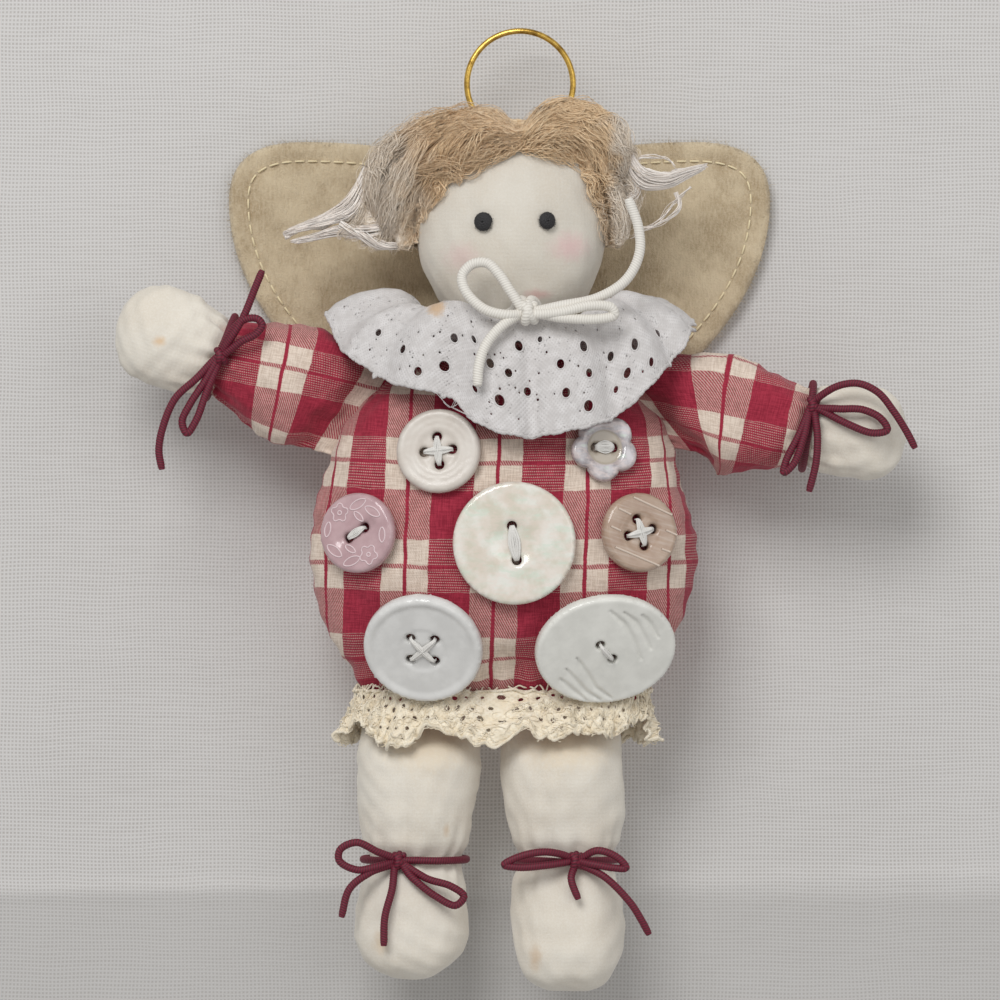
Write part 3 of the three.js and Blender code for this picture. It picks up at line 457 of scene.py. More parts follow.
def set_lights():
    """A soft lamp from the upper left and a weak one from the right, in an even room"""
    scene = bpy.context.scene
    scene.view_settings.view_transform = "Standard"
    world = bpy.data.worlds.new("studio")
    scene.world = world
    world.use_nodes = True
    tree = world.node_tree
    plain = tree.nodes["Background"]
    plain.inputs["Color"].default_value = (1, 1, 1, 1)
    plain.inputs["Strength"].default_value = 0.45
    behind = tree.nodes.new("ShaderNodeBackground")
    behind.inputs["Color"].default_value = tone(206, 204, 201)
    behind.inputs["Strength"].default_value = 1.0
    path = tree.nodes.new("ShaderNodeLightPath")
    shown = path.outputs["Is Camera Ray"]
    for ray in ("Is Glossy Ray", "Is Transmission Ray"):
        either = tree.nodes.new("ShaderNodeMath")
        either.operation = "MAXIMUM"
        tree.links.new(shown, either.inputs[0])
        tree.links.new(path.outputs[ray], either.inputs[1])
        shown = either.outputs[0]
    mixed = tree.nodes.new("ShaderNodeMixShader")
    tree.links.new(shown, mixed.inputs[0])
    tree.links.new(plain.outputs[0], mixed.inputs[1])
    tree.links.new(behind.outputs[0], mixed.inputs[2])
    tree.links.new(mixed.outputs[0], tree.nodes["World Output"].inputs["Surface"])
    for name, place, power, size in (
        ("key", (-0.28, -0.95, 0.55), 7.3, 0.55),
        ("fill", (0.6, -0.9, 0.1), 1.5, 0.7),
    ):
        data = bpy.data.lights.new(name, "AREA")
        data.energy = power
        data.size = size
        data.color = (1, 1, 1)
        lamp = bpy.data.objects.new(name, data)
        lamp.location = place
        aim = np.array([0, 0, -0.09]) - np.array(place)
        tilt = math.acos(-aim[2] / np.linalg.norm(aim))
        lamp.rotation_euler = (tilt, 0, math.atan2(-aim[0], aim[1]))
        scene.collection.objects.link(lamp)


# Backdrop: a pale woven cloth hung behind the doll, which comes forward in a soft fold near its foot

STAGE = {
    "y": 13.6, "half_width": 700.0, "top": 420.0, "fold": -171.0, "foot": -560.0, "lean": 10.0, "weave": 0.76,
}


def backdrop_finish():
    finish = Finish("pale_backdrop", Roughness=0.95, Specular_IOR_Level=0.2)
    place = finish.place()
    x, _, z = finish.parts(place)
    turn = 2 * math.pi / STAGE["weave"]
    wander = finish.noise(place, 0.05, 1) * 1.6
    threads = ((z + wander) * turn).sine().maximum(((x + wander) * turn).sine())
    slubs = finish.noise(finish.joined(x * 0.12, z * 1.2), 1.0, 3)
    weight = threads * 0.3 + slubs * 0.3 + finish.noise(place, 0.03, 3) * 0.25
    tint = finish.mix(weight.fade(-0.1, 0.6), tone(182, 178, 174), tone(211, 209, 207))
    # Painted shade: the cloth below the fold is coloured darker than above it
    below_fold_shade = 1 - z.fade(STAGE["fold"] - 4, STAGE["fold"] + 1)
    finish.colour(finish.mix(below_fold_shade * 0.35, tint, tone(160, 158, 155)))
    finish.relief(weight, 0.1)
    clear = finish.field("BsdfTransparent")
    back = finish.field("NewGeometry", output="Backfacing")
    shown = Field(finish, finish.shader.outputs[0])
    mixed = finish.field("MixShader", {0: back, 1: shown, 2: clear})
    finish.feed(finish.tree.nodes["Material Output"].inputs["Surface"], mixed)
    return finish


def make_backdrop():
    wall = STAGE["y"]
    lean = math.tan(math.radians(STAGE["lean"]))
    heights = np.concatenate([
        np.linspace(STAGE["top"], STAGE["fold"] + 12, 30),
        np.linspace(STAGE["fold"] + 10, STAGE["fold"] - 16, 40),
        np.linspace(STAGE["fold"] - 20, STAGE["foot"], 12),
    ])
    widths = np.linspace(-STAGE["half_width"], STAGE["half_width"], 60)
    x, z = np.meshgrid(widths, heights)
    line = STAGE["fold"] + 1.4 * np.sin(x / 60) - 0.7 * np.sin(x / 23 + 1)
    forward = np.where(z < line, (line - z) * lean, 0)
    ridge = 0.8 * bump(z - line, 1.6)
    grid = np.stack([x, wall - forward * 0.35 - ridge * 0.4, z], -1)
    faces = grid_faces(*x.shape, False)[:, ::-1]
    backdrop = make("backdrop", grid.reshape(-1, 3), faces, backdrop_finish())
    backdrop.visible_diffuse = False
    backdrop.visible_glossy = False
    backdrop.visible_transmission = False
    backdrop.visible_shadow = False


# Cords: each bow is one cord, from one tail through its loops and round the limb to the other tail

def forward_place(knot, place):
    across, forward, up = place
    return np.array([knot[0] + across, knot[1] - forward, knot[2] + up])


TORSO_WIDTHS = curve_through([
    (0, 4), (8.2, 23.6), (19.2, 32.6), (42, 38), (56, 35.25), (69, 28), (72, 26.5),
])
TORSO_DEPTHS = curve_through([
    (0, 3.5), (8.2, 11.5), (19.2, 16), (42, 18), (56, 15.8), (69, 6.5), (72, 0.8),
])


def arm_frame(arm):
    """Where the arm starts on the torso's side, and the directions of its seam, its length and its width"""
    side = arm["side"]

    def edge(drop):
        return np.array([TORSO["x"] + side * float(TORSO_WIDTHS(drop)), BODY_Y, TORSO["top"] - drop])

    seam = unit(edge(ARM["seam_drop"] - 0.5) - edge(ARM["seam_drop"] + 0.5))
    rise = math.radians(arm["rise"])
    along = np.array([side * math.cos(rise), 0, math.sin(rise)])
    across = np.array([-side * along[2], 0, side * along[0]])
    start = edge(ARM["seam_drop"]) + SEAM_GAP * np.array([side * seam[2], 0, -side * seam[0]])
    return {"start": start, "seam": seam, "along": along, "across": across}


def leg_frame(leg):
    start = np.array([TORSO["x"] + leg["x"], BODY_Y, TORSO["top"] - TORSO["height"] - SEAM_GAP])
    along = unit(np.array([leg["lean"], 0, -leg["reach"]]))
    return {"start": start, "along": along, "across": np.array([1.0, 0, 0])}


def limb_bow(limb, distance, width, depth, knot_across):
    """The knot of a bow on a limb, and the cord's way round the limb behind it"""
    middle = limb["start"] + limb["along"] * distance
    knot = middle + limb["across"] * knot_across
    curve = math.sqrt(1 - (knot_across / (width / 2)) ** 2)
    knot[1] -= curve * depth / 2 + CLEARANCE + 0.4 * LIMB_CORD["knot"]
    room = CLEARANCE + LIMB_CORD["diameter"] / 2
    wrap = []
    for i in range(1, 14):
        angle = -math.pi / 2 + 2 * math.pi * i / 14
        wrap.append(
            middle + limb["across"] * (width / 2 + room) * math.cos(angle)
            + np.array([0, 1, 0]) * (depth / 2 + room) * math.sin(angle)
        )
    return knot, wrap


WRIST_BOW_LEFT = {
    "start": [(2.6, 2, 3.8), (5, 2.4, 8), (7, 2, 13), (8.6, 1.6, 17)],
    "loop": [(2.6, 1.6, 5), (5, 2.6, 7.2), (7.6, 3, 7.4), (8.6, 3, 6.2), (7.4, 3, 4.4), (4.6, 2.6, 3)],
    "second_loop": [(-2.8, 1.8, -5), (-5.6, 2.6, -9.4), (-7.2, 2.8, -13), (-6.2, 3, -15.2), (-4.4, 3, -12.6),
                    (-2.6, 2.4, -7.6)],
    "end": [(-4.4, 2, -4.4), (-8.6, 2.4, -8.4), (-11, 2.4, -14), (-11.8, 2.2, -18.6), (-11.2, 2, -22.4)],
}
WRIST_BOW_RIGHT = {
    "start": [(4.4, 2, 3.6), (9, 3, 4.4), (13, 3.2, 2.6), (16, 3, -1), (18.6, 2.4, -5), (20.4, 2, -8.4)],
    "loop": [(5, 2.2, -0.6), (10, 3, -0.8), (13.6, 3.2, -2.6), (14.8, 3, -4.8), (12, 2.8, -5.4),
             (7, 2.4, -3.6)],
    "second_loop": [(-2.6, 2, -5.8), (-5.2, 2.8, -11), (-5.6, 3, -13.2), (-3.6, 3, -11.4), (-1.6, 2.4, -6)],
    "end": [(1, 2, -5), (0.8, 2.4, -11), (-0.6, 2, -17)],
}
ANKLE_BOW_LEFT = {
    "start": [(-5.4, 2, -2.2), (-9.4, 2.4, -5.4), (-11, 2.2, -11)],
    "loop": [(-4, 2, 2), (-8, 2.6, 3.8), (-11.2, 2.4, 2.4), (-11.4, 2.2, 0.2), (-8, 2.4, -1.6), (-4, 2, -1)],
    "second_loop": [(6, 2, -3.4), (10.6, 2.8, -4.8), (13.2, 2.8, -6.8), (11.6, 2.8, -8.6), (7.6, 2.6, -6.8),
                    (3, 2, -3.2)],
    "end": [(-1, 2.6, -5.6), (-2.4, 3.6, -11), (-2.6, 3.6, -16.6)],
}
ANKLE_BOW_RIGHT = {
    "start": [(-0.6, 2, -3.4), (0.8, 2.6, -7.4)],
    "loop": [(-5, 2, 1.9), (-10.6, 2.6, 1.1), (-13.8, 2.4, -0.6), (-10.6, 2.4, -1.1), (-5.4, 2, -0.7)],
    "second_loop": [(4.6, 2, 2.2), (8.6, 2.4, 0.8), (10.2, 2.4, -1.2), (7.8, 2.4, -1.2), (3.6, 2, -0.5)],
    "end": [(6, 2.2, -3), (11, 2.6, -8), (13.2, 2.4, -11.4), (14.8, 2, -14.4)],
}
NECK_BOW = {
    "start": [(6.8, 1, 1.4), (14, -0.6, 3), (19.6, -2, 6.6), (22.2, -2.6, 11.8), (22, -3, 17),
              (20, -3, 22.6)],
    "loop": [(-4, 1.6, -0.4), (-8.4, 1.2, 0.8), (-12, 0.2, 4.4), (-12.6, -0.6, 7.4), (-10.6, -0.8, 9.6),
             (-7.8, -0.6, 9.8), (-5.4, 0, 7.6), (-3, 0.6, 4)],
    "second_loop": [(6, 1.8, 0), (12.6, 1.8, 1.4), (16.6, 1.2, 1), (17.2, 1, -0.4), (14, 1.4, -1.2),
                    (7, 1.6, -1)],
    "end": [(-4.6, 1.8, -2.4), (-8, 3.2, -6.4), (-9.4, 4.4, -10.8), (-9.6, 5, -14.4)],
}


def neck_bow_route():
    """The knot in front of the collar, and the cord's way over its crest and through its gathers"""
    knot = np.array([1.2, -28.275, -56.5])
    ring_z = -58.87
    crest = {"y": -23.375, "z": -53.9}
    middle = np.array([HEAD["x"], BODY_Y - 0.8, ring_z])
    half_across, half_through, spread = 11.45, 9.15, 3.0

    def over(side, share):
        return np.array([
            knot[0] + side * spread * (1.3 - share),
            between(middle[1] - half_through, crest["y"], share),
            between(ring_z, crest["z"], math.sin(math.pi / 2 * share)),
        ])

    wrap = [over(1, share) for share in (1, 0.75, 0.4)]
    for i in range(2, 13):
        angle = -math.pi / 2 + 2 * math.pi * i / 14
        wrap.append(middle + np.array([half_across * math.cos(angle), half_through * math.sin(angle), 0]))
    wrap += [over(-1, share) for share in (0.4, 0.75, 1)]
    return knot, wrap


def cord_finish(name, light, dark, sheen, ribs):
    finish = Finish(name, Roughness=0.62, Sheen_Weight=sheen, Sheen_Roughness=0.4)
    around, run, _ = finish.parts(finish.cloth())
    wave = (run * (2 * math.pi / ribs) + around.pingpong(math.pi) * RIB_SLANT).cosine()
    # The colour runs from the dark tone in the grooves between the plaits to the light tone on their crests:
    # painted shade in the grooves, with a little uneven tone mixed in
    depth = wave + (finish.noise(finish.place(), 4.0, 3) - 0.5) * 1.6
    finish.colour(finish.mix(depth.fade(-0.9, 0.7), dark, light))
    finish.relief(wave, 0.04, 0.5)
    return finish


def make_bow(name, node, body, slot, finish, cord, knot, wrap, bow):
    """One cord through the knot three times: tail, loop, the way round, loop and tail"""
    start, loop, second, end = (
        [forward_place(knot, place) for place in bow[key]] for key in ("start", "loop", "second_loop", "end")
    )
    route = start[::-1] + [knot] + loop + [knot] + wrap + [knot] + second + [knot] + end
    path = along_line(route, detail(0.11, 0.3))
    half = cord["diameter"] / 2
    laid = cord_tube(name, path, half, finish, ribs=cord["ribs"], rib_height=cord["relief"])
    settle(laid, body, slot, node)
    turns = []
    for turn, (lean, reach) in enumerate(((0.35, 1.15), (-0.5, 1.25))):
        angles = np.linspace(0, 2 * np.pi, 60)
        axis_up = np.array([math.sin(lean), 0, math.cos(lean)])
        reach *= half / 0.75
        ring = knot + 0.25 * (turn - 0.5) + np.outer(np.cos(angles), axis_up) * reach * 1.1
        ring = ring + np.outer(np.sin(angles), [0, -1, 0]) * reach * 0.95 + np.outer(angles, [0.16, 0, 0.03])
        turns.append(cord_tube(f"{name}_knot_{turn + 1}", ring, half * 0.92, finish, ribs=cord["ribs"]))
        settle(turns[-1], body, slot)


def make_bows():
    # Each cord's dark tone is the painted shade of its grooves, and its light tone is its crests
    wine = cord_finish("wine_cord", tone(112, 9, 42), tone(70, 5, 26), 0.04, LIMB_CORD["ribs"])
    cream = cord_finish("cream_cord", tone(230, 226, 218), tone(214, 209, 200), 0.1, NECK_CORD["ribs"])
    wrist = (ARM["wrist_width"], ARM["wrist_depth"])
    ankle = (LEG["ankle_drop"], LEG["ankle_width"], LEG["ankle_depth"])
    for side, arm, bow in (("left", LEFT_ARM, WRIST_BOW_LEFT), ("right", RIGHT_ARM, WRIST_BOW_RIGHT)):
        names = (f"wrist_cord_{side}", f"wrist_bow_{side}", f"arm_{side}", "wine_cord")
        knot, wrap = limb_bow(arm_frame(arm), arm["sleeve"], *wrist, arm["knot_across"])
        make_bow(*names, wine, LIMB_CORD, knot, wrap, bow)
    for side, leg, bow in (("left", LEFT_LEG, ANKLE_BOW_LEFT), ("right", RIGHT_LEG, ANKLE_BOW_RIGHT)):
        names = (f"ankle_cord_{side}", f"ankle_bow_{side}", f"leg_{side}", "wine_cord")
        knot, wrap = limb_bow(leg_frame(leg), *ankle, leg["knot_across"])
        make_bow(*names, wine, LIMB_CORD, knot, wrap, bow)
    knot, wrap = neck_bow_route()
    make_bow("neck_cord", "neck_bow", "torso", "cream_cord", cream, NECK_CORD, knot, wrap, NECK_BOW)


EYES = {
    "left": {"diameter": 3.6, "x": -5.6, "z": 1.2},
    "right": {"diameter": 3.3, "x": 6.8, "z": 1.4},
}
BUTTONS = {
    "ivory": {"across": -12.5, "down": 21.9, "diameter": 16.6, "thickness": 2.4, "rim": 2.6, "dish": 0.12,
              "holes": 4, "circle": 5.6, "turn": 6},
    "flower": {"across": 19.6, "down": 21.2, "diameter": 13.6, "thickness": 2.0, "rim": 3.2, "dish": 0.7,
               "holes": 2, "circle": 3.6, "turn": 0, "petals": 5, "petal_turn": -24},
    "pink": {"across": -27.9, "down": 37.9, "diameter": 15.8, "thickness": 2.6, "rim": 3.4, "dish": 0.05,
             "holes": 2, "circle": 4.0, "turn": 32},
    "pearl": {"across": 2.2, "down": 39.8, "diameter": 24.2, "thickness": 2.6, "rim": 3.2, "dish": 0.05,
              "holes": 2, "circle": 6.8, "turn": 98},
    "taupe": {"across": 26.2, "down": 37.8, "diameter": 15.6, "thickness": 2.8, "rim": 3.0, "dish": 0.1,
              "holes": 4, "circle": 5.4, "turn": 15},
    "white": {"across": -15.5, "down": 59.6, "diameter": 23.6, "thickness": 2.8, "rim": 1.8, "dish": 0.3,
              "holes": 4, "circle": 6.8, "turn": 41},
    "oval": {"across": 19.8, "down": 59.8, "diameter": 24.0, "long": 28.2, "thickness": 2.6, "rim": 2.4,
             "dish": 0.0, "holes": 2, "circle": 4.2, "turn": -48},
}
BUTTON_HOLE = 2.0
# How many threads show on each button, and how far apart they lie at the middle
STITCHES = {
    "ivory": (7, 0.24), "flower": (9, 0.3), "pink": (6, 0.26), "pearl": (10, 0.26), "taupe": (7, 0.24),
    "white": (7, 0.2), "oval": (5, 0.2),
}


def front_point(across, drop):
    """The point of the torso's front there, and the way it faces"""
    power = TORSO["squareness"]

    def at(x, down):
        share = min(abs(x) / float(TORSO_WIDTHS(down)), 0.98)
        deep = float(TORSO_DEPTHS(down)) * (1 - share ** power) ** (1 / power)
        return np.array([TORSO["x"] + x, BODY_Y - deep, TORSO["top"] - down])

    step = 0.5
    rightwards = at(across + step, drop) - at(across - step, drop)
    upwards = at(across, drop - step) - at(across, drop + step)
    return at(across, drop), unit(np.cross(rightwards, upwards))


def frame_on(point, outward):
    """Directions across, up and out of a place on a surface"""
    across = unit(np.cross([0, 0, 1], outward))
    return {"point": point, "across": across, "up": np.cross(outward, across), "out": outward}


def placed(stand, local):
    """Points of a piece made flat, set on a place of a surface"""
    local = np.asarray(local)
    return (
        stand["point"] + local[..., :1] * stand["across"] + local[..., 1:2] * stand["up"]
        + local[..., 2:] * stand["out"]
    )


def face_point(x, z):
    across, up = x / (HEAD["width"] / 2), z / (HEAD["height"] / 2)
    y = -(HEAD["depth"] / 2) * math.sqrt(1 - across ** 2 - up ** 2)
    outward = unit(np.array([x / HEAD["width"] ** 2, y / HEAD["depth"] ** 2, z / HEAD["height"] ** 2]))
    return np.array([HEAD["x"] + x, BODY_Y + y, HEAD["z"] + z]), outward


# Cloth finishes

PLAID = {"period": 17.8, "line": 0.4, "cream": 4.7, "soft": 0.1, "hatch": 0.48, "rows": 0.48, "dots": 0.42}
MUSLIN_THREAD = 0.42
MUSLIN_TONES = ((220, 211, 196), (227, 220, 207), (238, 235, 227))


def plaid_finish():
    """Red and cream check: broad red bands, and a thin red line down the middle of each cream one. Where
    only the level threads are red the twill shows slanting, and elsewhere it shows as rows of dashes"""
    finish = Finish("plaid", Roughness=0.9, Sheen_Weight=0.12, Sheen_Roughness=0.5, Specular_IOR_Level=0.25)
    cloth = finish.cloth()
    along, over, _ = finish.parts(cloth)
    wander = (finish.noise(cloth, 0.18, 2) - 0.5) * 0.7
    shake = (finish.noise(cloth, 3.2, 1) - 0.5) * 0.25

    def red_shares(run):
        from_line = (run + wander).pingpong(PLAID["period"] / 2) + shake
        line, cream, soft = PLAID["line"], PLAID["cream"], PLAID["soft"]
        return 1 - from_line.fade(line - soft, line + soft), from_line.fade(cream - soft, cream + soft)

    warp_line, warp = red_shares(along)
    weft_line, weft = red_shares(over)
    slant = ((along + over * 0.62) / PLAID["hatch"]).pingpong(0.5)
    hatched = slant.fade(0.05, 0.4) * 0.56 + 0.38
    row = (over * (2 * math.pi / PLAID["rows"])).cosine()
    dot = (along * (2 * math.pi / PLAID["dots"]) + over * 4.0).cosine()
    dashed = 1 - row.fade(-0.1, 0.7) * dot.fade(-0.9, 0.1) * 0.46
    both = warp.minimum(weft)
    thin = (weft_line * warp.maximum(hatched)).maximum(warp_line)
    mingled = ((warp - both) * dashed).maximum((weft - both) * hatched)
    shown = both.maximum(thin).maximum(mingled)
    slub = finish.noise(finish.joined(along * 4.0, over * 0.35), 1.0)
    slub = slub + finish.noise(finish.joined(along * 0.35, over * 4.0), 1.0)
    share = slub.fade(0.75, 1.25)
    red = finish.mix(share, tone(138, 32, 52), tone(168, 50, 70))
    cream = finish.mix(share, tone(204, 186, 170), tone(230, 214, 199))
    finish.colour(finish.mix(shown, cream, red))
    finish.relief(slant * 1.4 + slub, 0.05, 0.8)
    return finish


def muslin_finish(name, spots=(), light=1.0):
    """Unbleached cotton with a soft nap. spots are patches of another colour: (x, z), size across and up,
    colour and strength. They hold stains, blush, the mouth, a broad patch below the hem on each leg, and a
    painted light over the lower face
    """
    finish = Finish(name, Roughness=0.95, Sheen_Weight=0.2, Sheen_Roughness=0.6, Specular_IOR_Level=0.2)
    place = finish.place()
    along, over, _ = finish.parts(finish.cloth())
    turn = math.pi / MUSLIN_THREAD
    weave = (along * turn).sine() + (over * turn).sine()
    nap = finish.noise(place, 2.6, 4, 0.62)
    # light below 1 gives a darker copy of the same cloth, which is painted shade
    dull, plain, bright = (tone(*(part * light for part in colour)) for colour in MUSLIN_TONES)
    tint = finish.mix(finish.noise(place, 0.11, 3).fade(0.3, 0.7), dull, plain)
    tint = finish.mix(nap.fade(0.35, 0.75) * 0.35, tint, bright)
    x, y, z = finish.parts(place)
    ragged = (finish.noise(place, 0.9, 3) - 0.5) * 0.9
    front = 1 - y.fade(BODY_Y - 3, BODY_Y)
    for (spot_x, spot_z), (across, up), colour, strength in spots:
        far = (((x - spot_x) / across) ** 2 + ((z - spot_z) / up) ** 2).root()
        near = 1 - (far + ragged).fade(0.05, 1.4)
        tint = finish.mix(near * front * strength, tint, colour)
    finish.colour(tint)
    finish.relief(weave * 0.1 + nap * 1.3, 0.05)
    return finish


def felt_finish():
    """Wool felt: short fibres lying every way, with lighter and darker clouds"""
    finish = Finish("felt", Roughness=1.0, Sheen_Weight=0.35, Sheen_Roughness=0.7, Specular_IOR_Level=0.1)
    place = finish.place()
    x, y, z = finish.parts(place)
    strands = finish.noise(finish.joined(x * 2.2, y, z * 0.6), 1.0, 3)
    weight = finish.noise(place, 2.4, 5, 0.7) * 0.55 + strands * 0.45
    clouds = finish.noise(place, 0.13, 4, 0.6)
    base = finish.mix(clouds.fade(0.32, 0.68), tone(170, 148, 114), tone(208, 189, 156))
    finish.colour(finish.mix(weight.fade(0.35, 0.68) * 0.55, base, tone(224, 208, 178)))
    finish.relief(weight, 0.5)
    return finish


# Limbs and body

def rings(limb, distances, angles, half_width, half_depth, power, forward=None, across_at=None):
    """Rings of points along a limb; angle 0 is its front, and a quarter turn on is its upper or right side"""
    distances = np.asarray(distances)
    centre = limb["start"] + distances[:, None] * limb["along"]
    if forward is not None:
        centre[:, 1] -= forward(distances)
    across = np.broadcast_to(limb["across"], centre.shape) if across_at is None else across_at(distances)
    sine, cosine = (squared_off(values, power) for values in (np.sin(angles), np.cos(angles)))
    flat = across[:, None] * (half_width(distances)[:, None] * sine)[..., None]
    deep = np.array([0, -1, 0]) * (half_depth(distances)[:, None] * cosine)[..., None]
    return centre[:, None] + flat + deep


def even_angles(quarter, ratio):
    """Angles all round an oval, evenly spread along its edge, with one on each of its four axes"""
    fine = np.linspace(0, np.pi / 2, 400)
    edge = np.stack([ratio * np.sin(fine) ** 0.8, np.cos(fine) ** 0.8], -1)
    run = distances_along(edge)
    first = np.interp(np.linspace(0, run[-1], quarter + 1), run, fine)
    half = np.concatenate([first, (np.pi - first[::-1])[1:]])
    return np.concatenate([-half[::-1], half[1:-1]])


def arc_from(grid, column):
    """The distance round each ring from the given column, less than nothing on its left"""
    steps = np.linalg.norm(np.diff(np.concatenate([grid, grid[:, :1]], 1), axis=1), axis=2)
    run = np.concatenate([np.zeros((len(grid), 1)), np.cumsum(steps, axis=1)], 1)
    return run - run[:, column:column + 1]


# The body's plaid: its middle line and how it leans, how much its rows sag towards the sides, and how far
# the cloth behind is shifted. Then the height of each row on the body, and where that lies in the weave
TORSO_WEAVE = {
    "line": -4.9, "lean": 0.0367, "height": -103.2, "sag": 1.2, "reach": 38.0, "behind": (4.0, 6.0),
}
TORSO_BANDS = {60.0: -29.0, 68.0: -17.8, 86.0: 0.0, 106.6: 17.8, 125.2: 35.6, 136.0: 49.0}


def torso_relief(grid, angles, drop, run, round_it):
    """How far the cloth swells, is pulled in by the buttons, and puckers at its seams, neck and hem"""
    x, y, z = np.moveaxis(grid, -1, 0)
    facing = fade_out(y - BODY_Y, -3, 4)
    seam = np.minimum(abs(run - round_it / 4), abs(run + round_it / 4))
    inside = ease(drop, 2, 12) * fade_out(drop, 64, 71.5)
    swell = 0.5 * lumps(grid, 17, 3) + 0.18 * lumps(grid, 6.5, 4)
    height = swell * (0.25 + 0.75 * facing) * inside
    pull = np.zeros_like(x)
    for button in BUTTONS.values():
        point, _ = front_point(button["across"], button["down"])
        away = np.linalg.norm(grid - point, axis=-1)
        radius = button["diameter"] / 2
        height *= ease(away, radius * 0.9, radius + 4)
        turn = np.arctan2(z - point[2], x - point[0])
        pull += -0.45 * np.exp(-(away / (radius * 0.95)) ** 4)
        pull += 0.16 * np.cos(7 * turn + button["turn"]) * bump(away - radius - 1.5, 2.6)
    height += pull
    pucker = np.cos(2 * np.pi * z / 4.6 + 1.3 * np.sin(z / 5)) * np.exp(-seam / 4.2)
    height += (-1.1 * bump(seam, 0.8) + 0.32 * pucker) * ease(drop, 3, 12) * (0.3 + 0.7 * facing)
    gathers = np.cos(26 * angles + 2 * np.sin(3 * angles))
    height += 0.8 * gathers * np.exp(-drop / 6) * ease(drop, 0, 2) * facing
    hem = ease(drop, 60, 69) * fade_out(drop, 70, 71.8)
    height += 0.4 * np.cos(run / 1.1 + 2 * np.sin(run / 7)) * hem * facing
    return height


def torso_cloth(x, z, run, round_it, angles):
    """Where each side of the grid's faces lies in the weave, in front and behind"""
    line = TORSO_WEAVE["line"] + TORSO_WEAVE["lean"] * (z[:, :1] - TORSO_WEAVE["height"]) - TORSO["x"]
    lower = -TORSO_WEAVE["sag"] * ((x - TORSO["x"]) / TORSO_WEAVE["reach"]) ** 2
    down = np.interp(-(z + lower), list(TORSO_BANDS), list(TORSO_BANDS.values()))
    down = np.concatenate([-down, -down[:, :1]], 1)
    front = np.stack([run - line, down], -1)
    turned = np.where(run > 0, run - round_it / 2, run + round_it / 2)
    rear = np.stack([turned + TORSO_WEAVE["behind"][0], down + TORSO_WEAVE["behind"][1]], -1)
    sides = sides_of(front)
    behind = abs(angles + np.pi / len(angles)) > np.pi / 2
    sides[:, behind] = sides_of(rear)[:, behind]
    return sides


def make_torso(finish):
    """A stuffed bag with a seam down each side, gathered at the neck and pressed flat at the hem"""
    rows, quarter = detail((170, 112), (70, 40))
    angles = even_angles(quarter, TORSO_WIDTHS(42) / TORSO_DEPTHS(42))
    drops = TORSO["height"] * (1 - np.cos(np.pi * np.linspace(0, 1, rows))) / 2
    power = TORSO["squareness"]
    x = TORSO["x"] + TORSO_WIDTHS(drops)[:, None] * squared_off(np.sin(angles), power)
    y = BODY_Y - TORSO_DEPTHS(drops)[:, None] * squared_off(np.cos(angles), power)
    z = np.broadcast_to((TORSO["top"] - drops)[:, None], x.shape)
    grid = np.stack([x, y, z], -1)
    run = arc_from(grid, 2 * quarter)
    round_it = run[:, -1:] - run[:, :1]
    normals = grid_normals(grid)
    drop = np.broadcast_to(drops[:, None], x.shape)
    height = torso_relief(grid, angles, drop, run[:, :-1], round_it)
    sides = torso_cloth(x, z, run, round_it, angles)
    body = skin("body_cloth", grid + normals * height[..., None], finish, sides)
    settle(body, "torso", "plaid", "torso")


def limb_cloth(grid, limb, marks=None):
    """Flat places of a limb's cloth. marks give the directions and origins of a checked pattern"""
    columns = grid.shape[1]
    middle = columns // 2
    run = arc_from(grid, middle)
    centre = grid[:, middle]
    if marks is None:
        onward = (centre - limb["start"]) @ limb["along"]
        return sides_of(np.stack([run, np.broadcast_to(onward[:, None], run.shape)], -1))
    directions, through = marks
    flat = []
    for direction, origin in zip(directions, through):
        direction = np.array([direction[0], 0, direction[1]])
        origin = np.array([origin[0], 0, origin[1]])
        start = (centre * [1, 0, 1] - origin) @ direction
        flat.append(start[:, None] + run * float(limb["across"] @ direction))
    return sides_of(np.stack(flat, -1))


# How the check lies on each sleeve: its two directions, and a place on a line of each, across and up
SLEEVE_MARKS = {
    "left": (((0.982, -0.189), (0.189, 0.982)), ((-46.9, -67.2), (-56.8, -65.0))),
    "right": (((0.977, -0.215), (0.215, 0.977)), ((40.4, -74.0), (27.0, -78.2))),
}


def folds_at(distance, place, angles, count, height, reach, seed):
    """Gathers that fade away on both sides of a tied place"""
    source = np.random.default_rng(seed)
    wave = np.zeros((len(distance), len(angles)))
    for k, share in ((count, 1.0), (int(count * 1.6), 0.5), (int(count * 0.6), 0.4)):
        start = source.uniform(0, 6.28)
        wave += share * np.cos(k * angles + start + 0.06 * (distance[:, None] - place) * k / count)
    fade = np.exp(-np.abs(distance - place) / reach)[:, None]
    return height * wave * fade


def from_seams(angles, half_width):
    """How far round a limb its points are from the nearer of its two seams"""
    return np.minimum(abs(angles - np.pi / 2), abs(angles + np.pi / 2))[None] * half_width[:, None]


def blend_seam(piece):
    """Bake a limb's cloth into its place; it rides on no body"""
    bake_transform(piece)


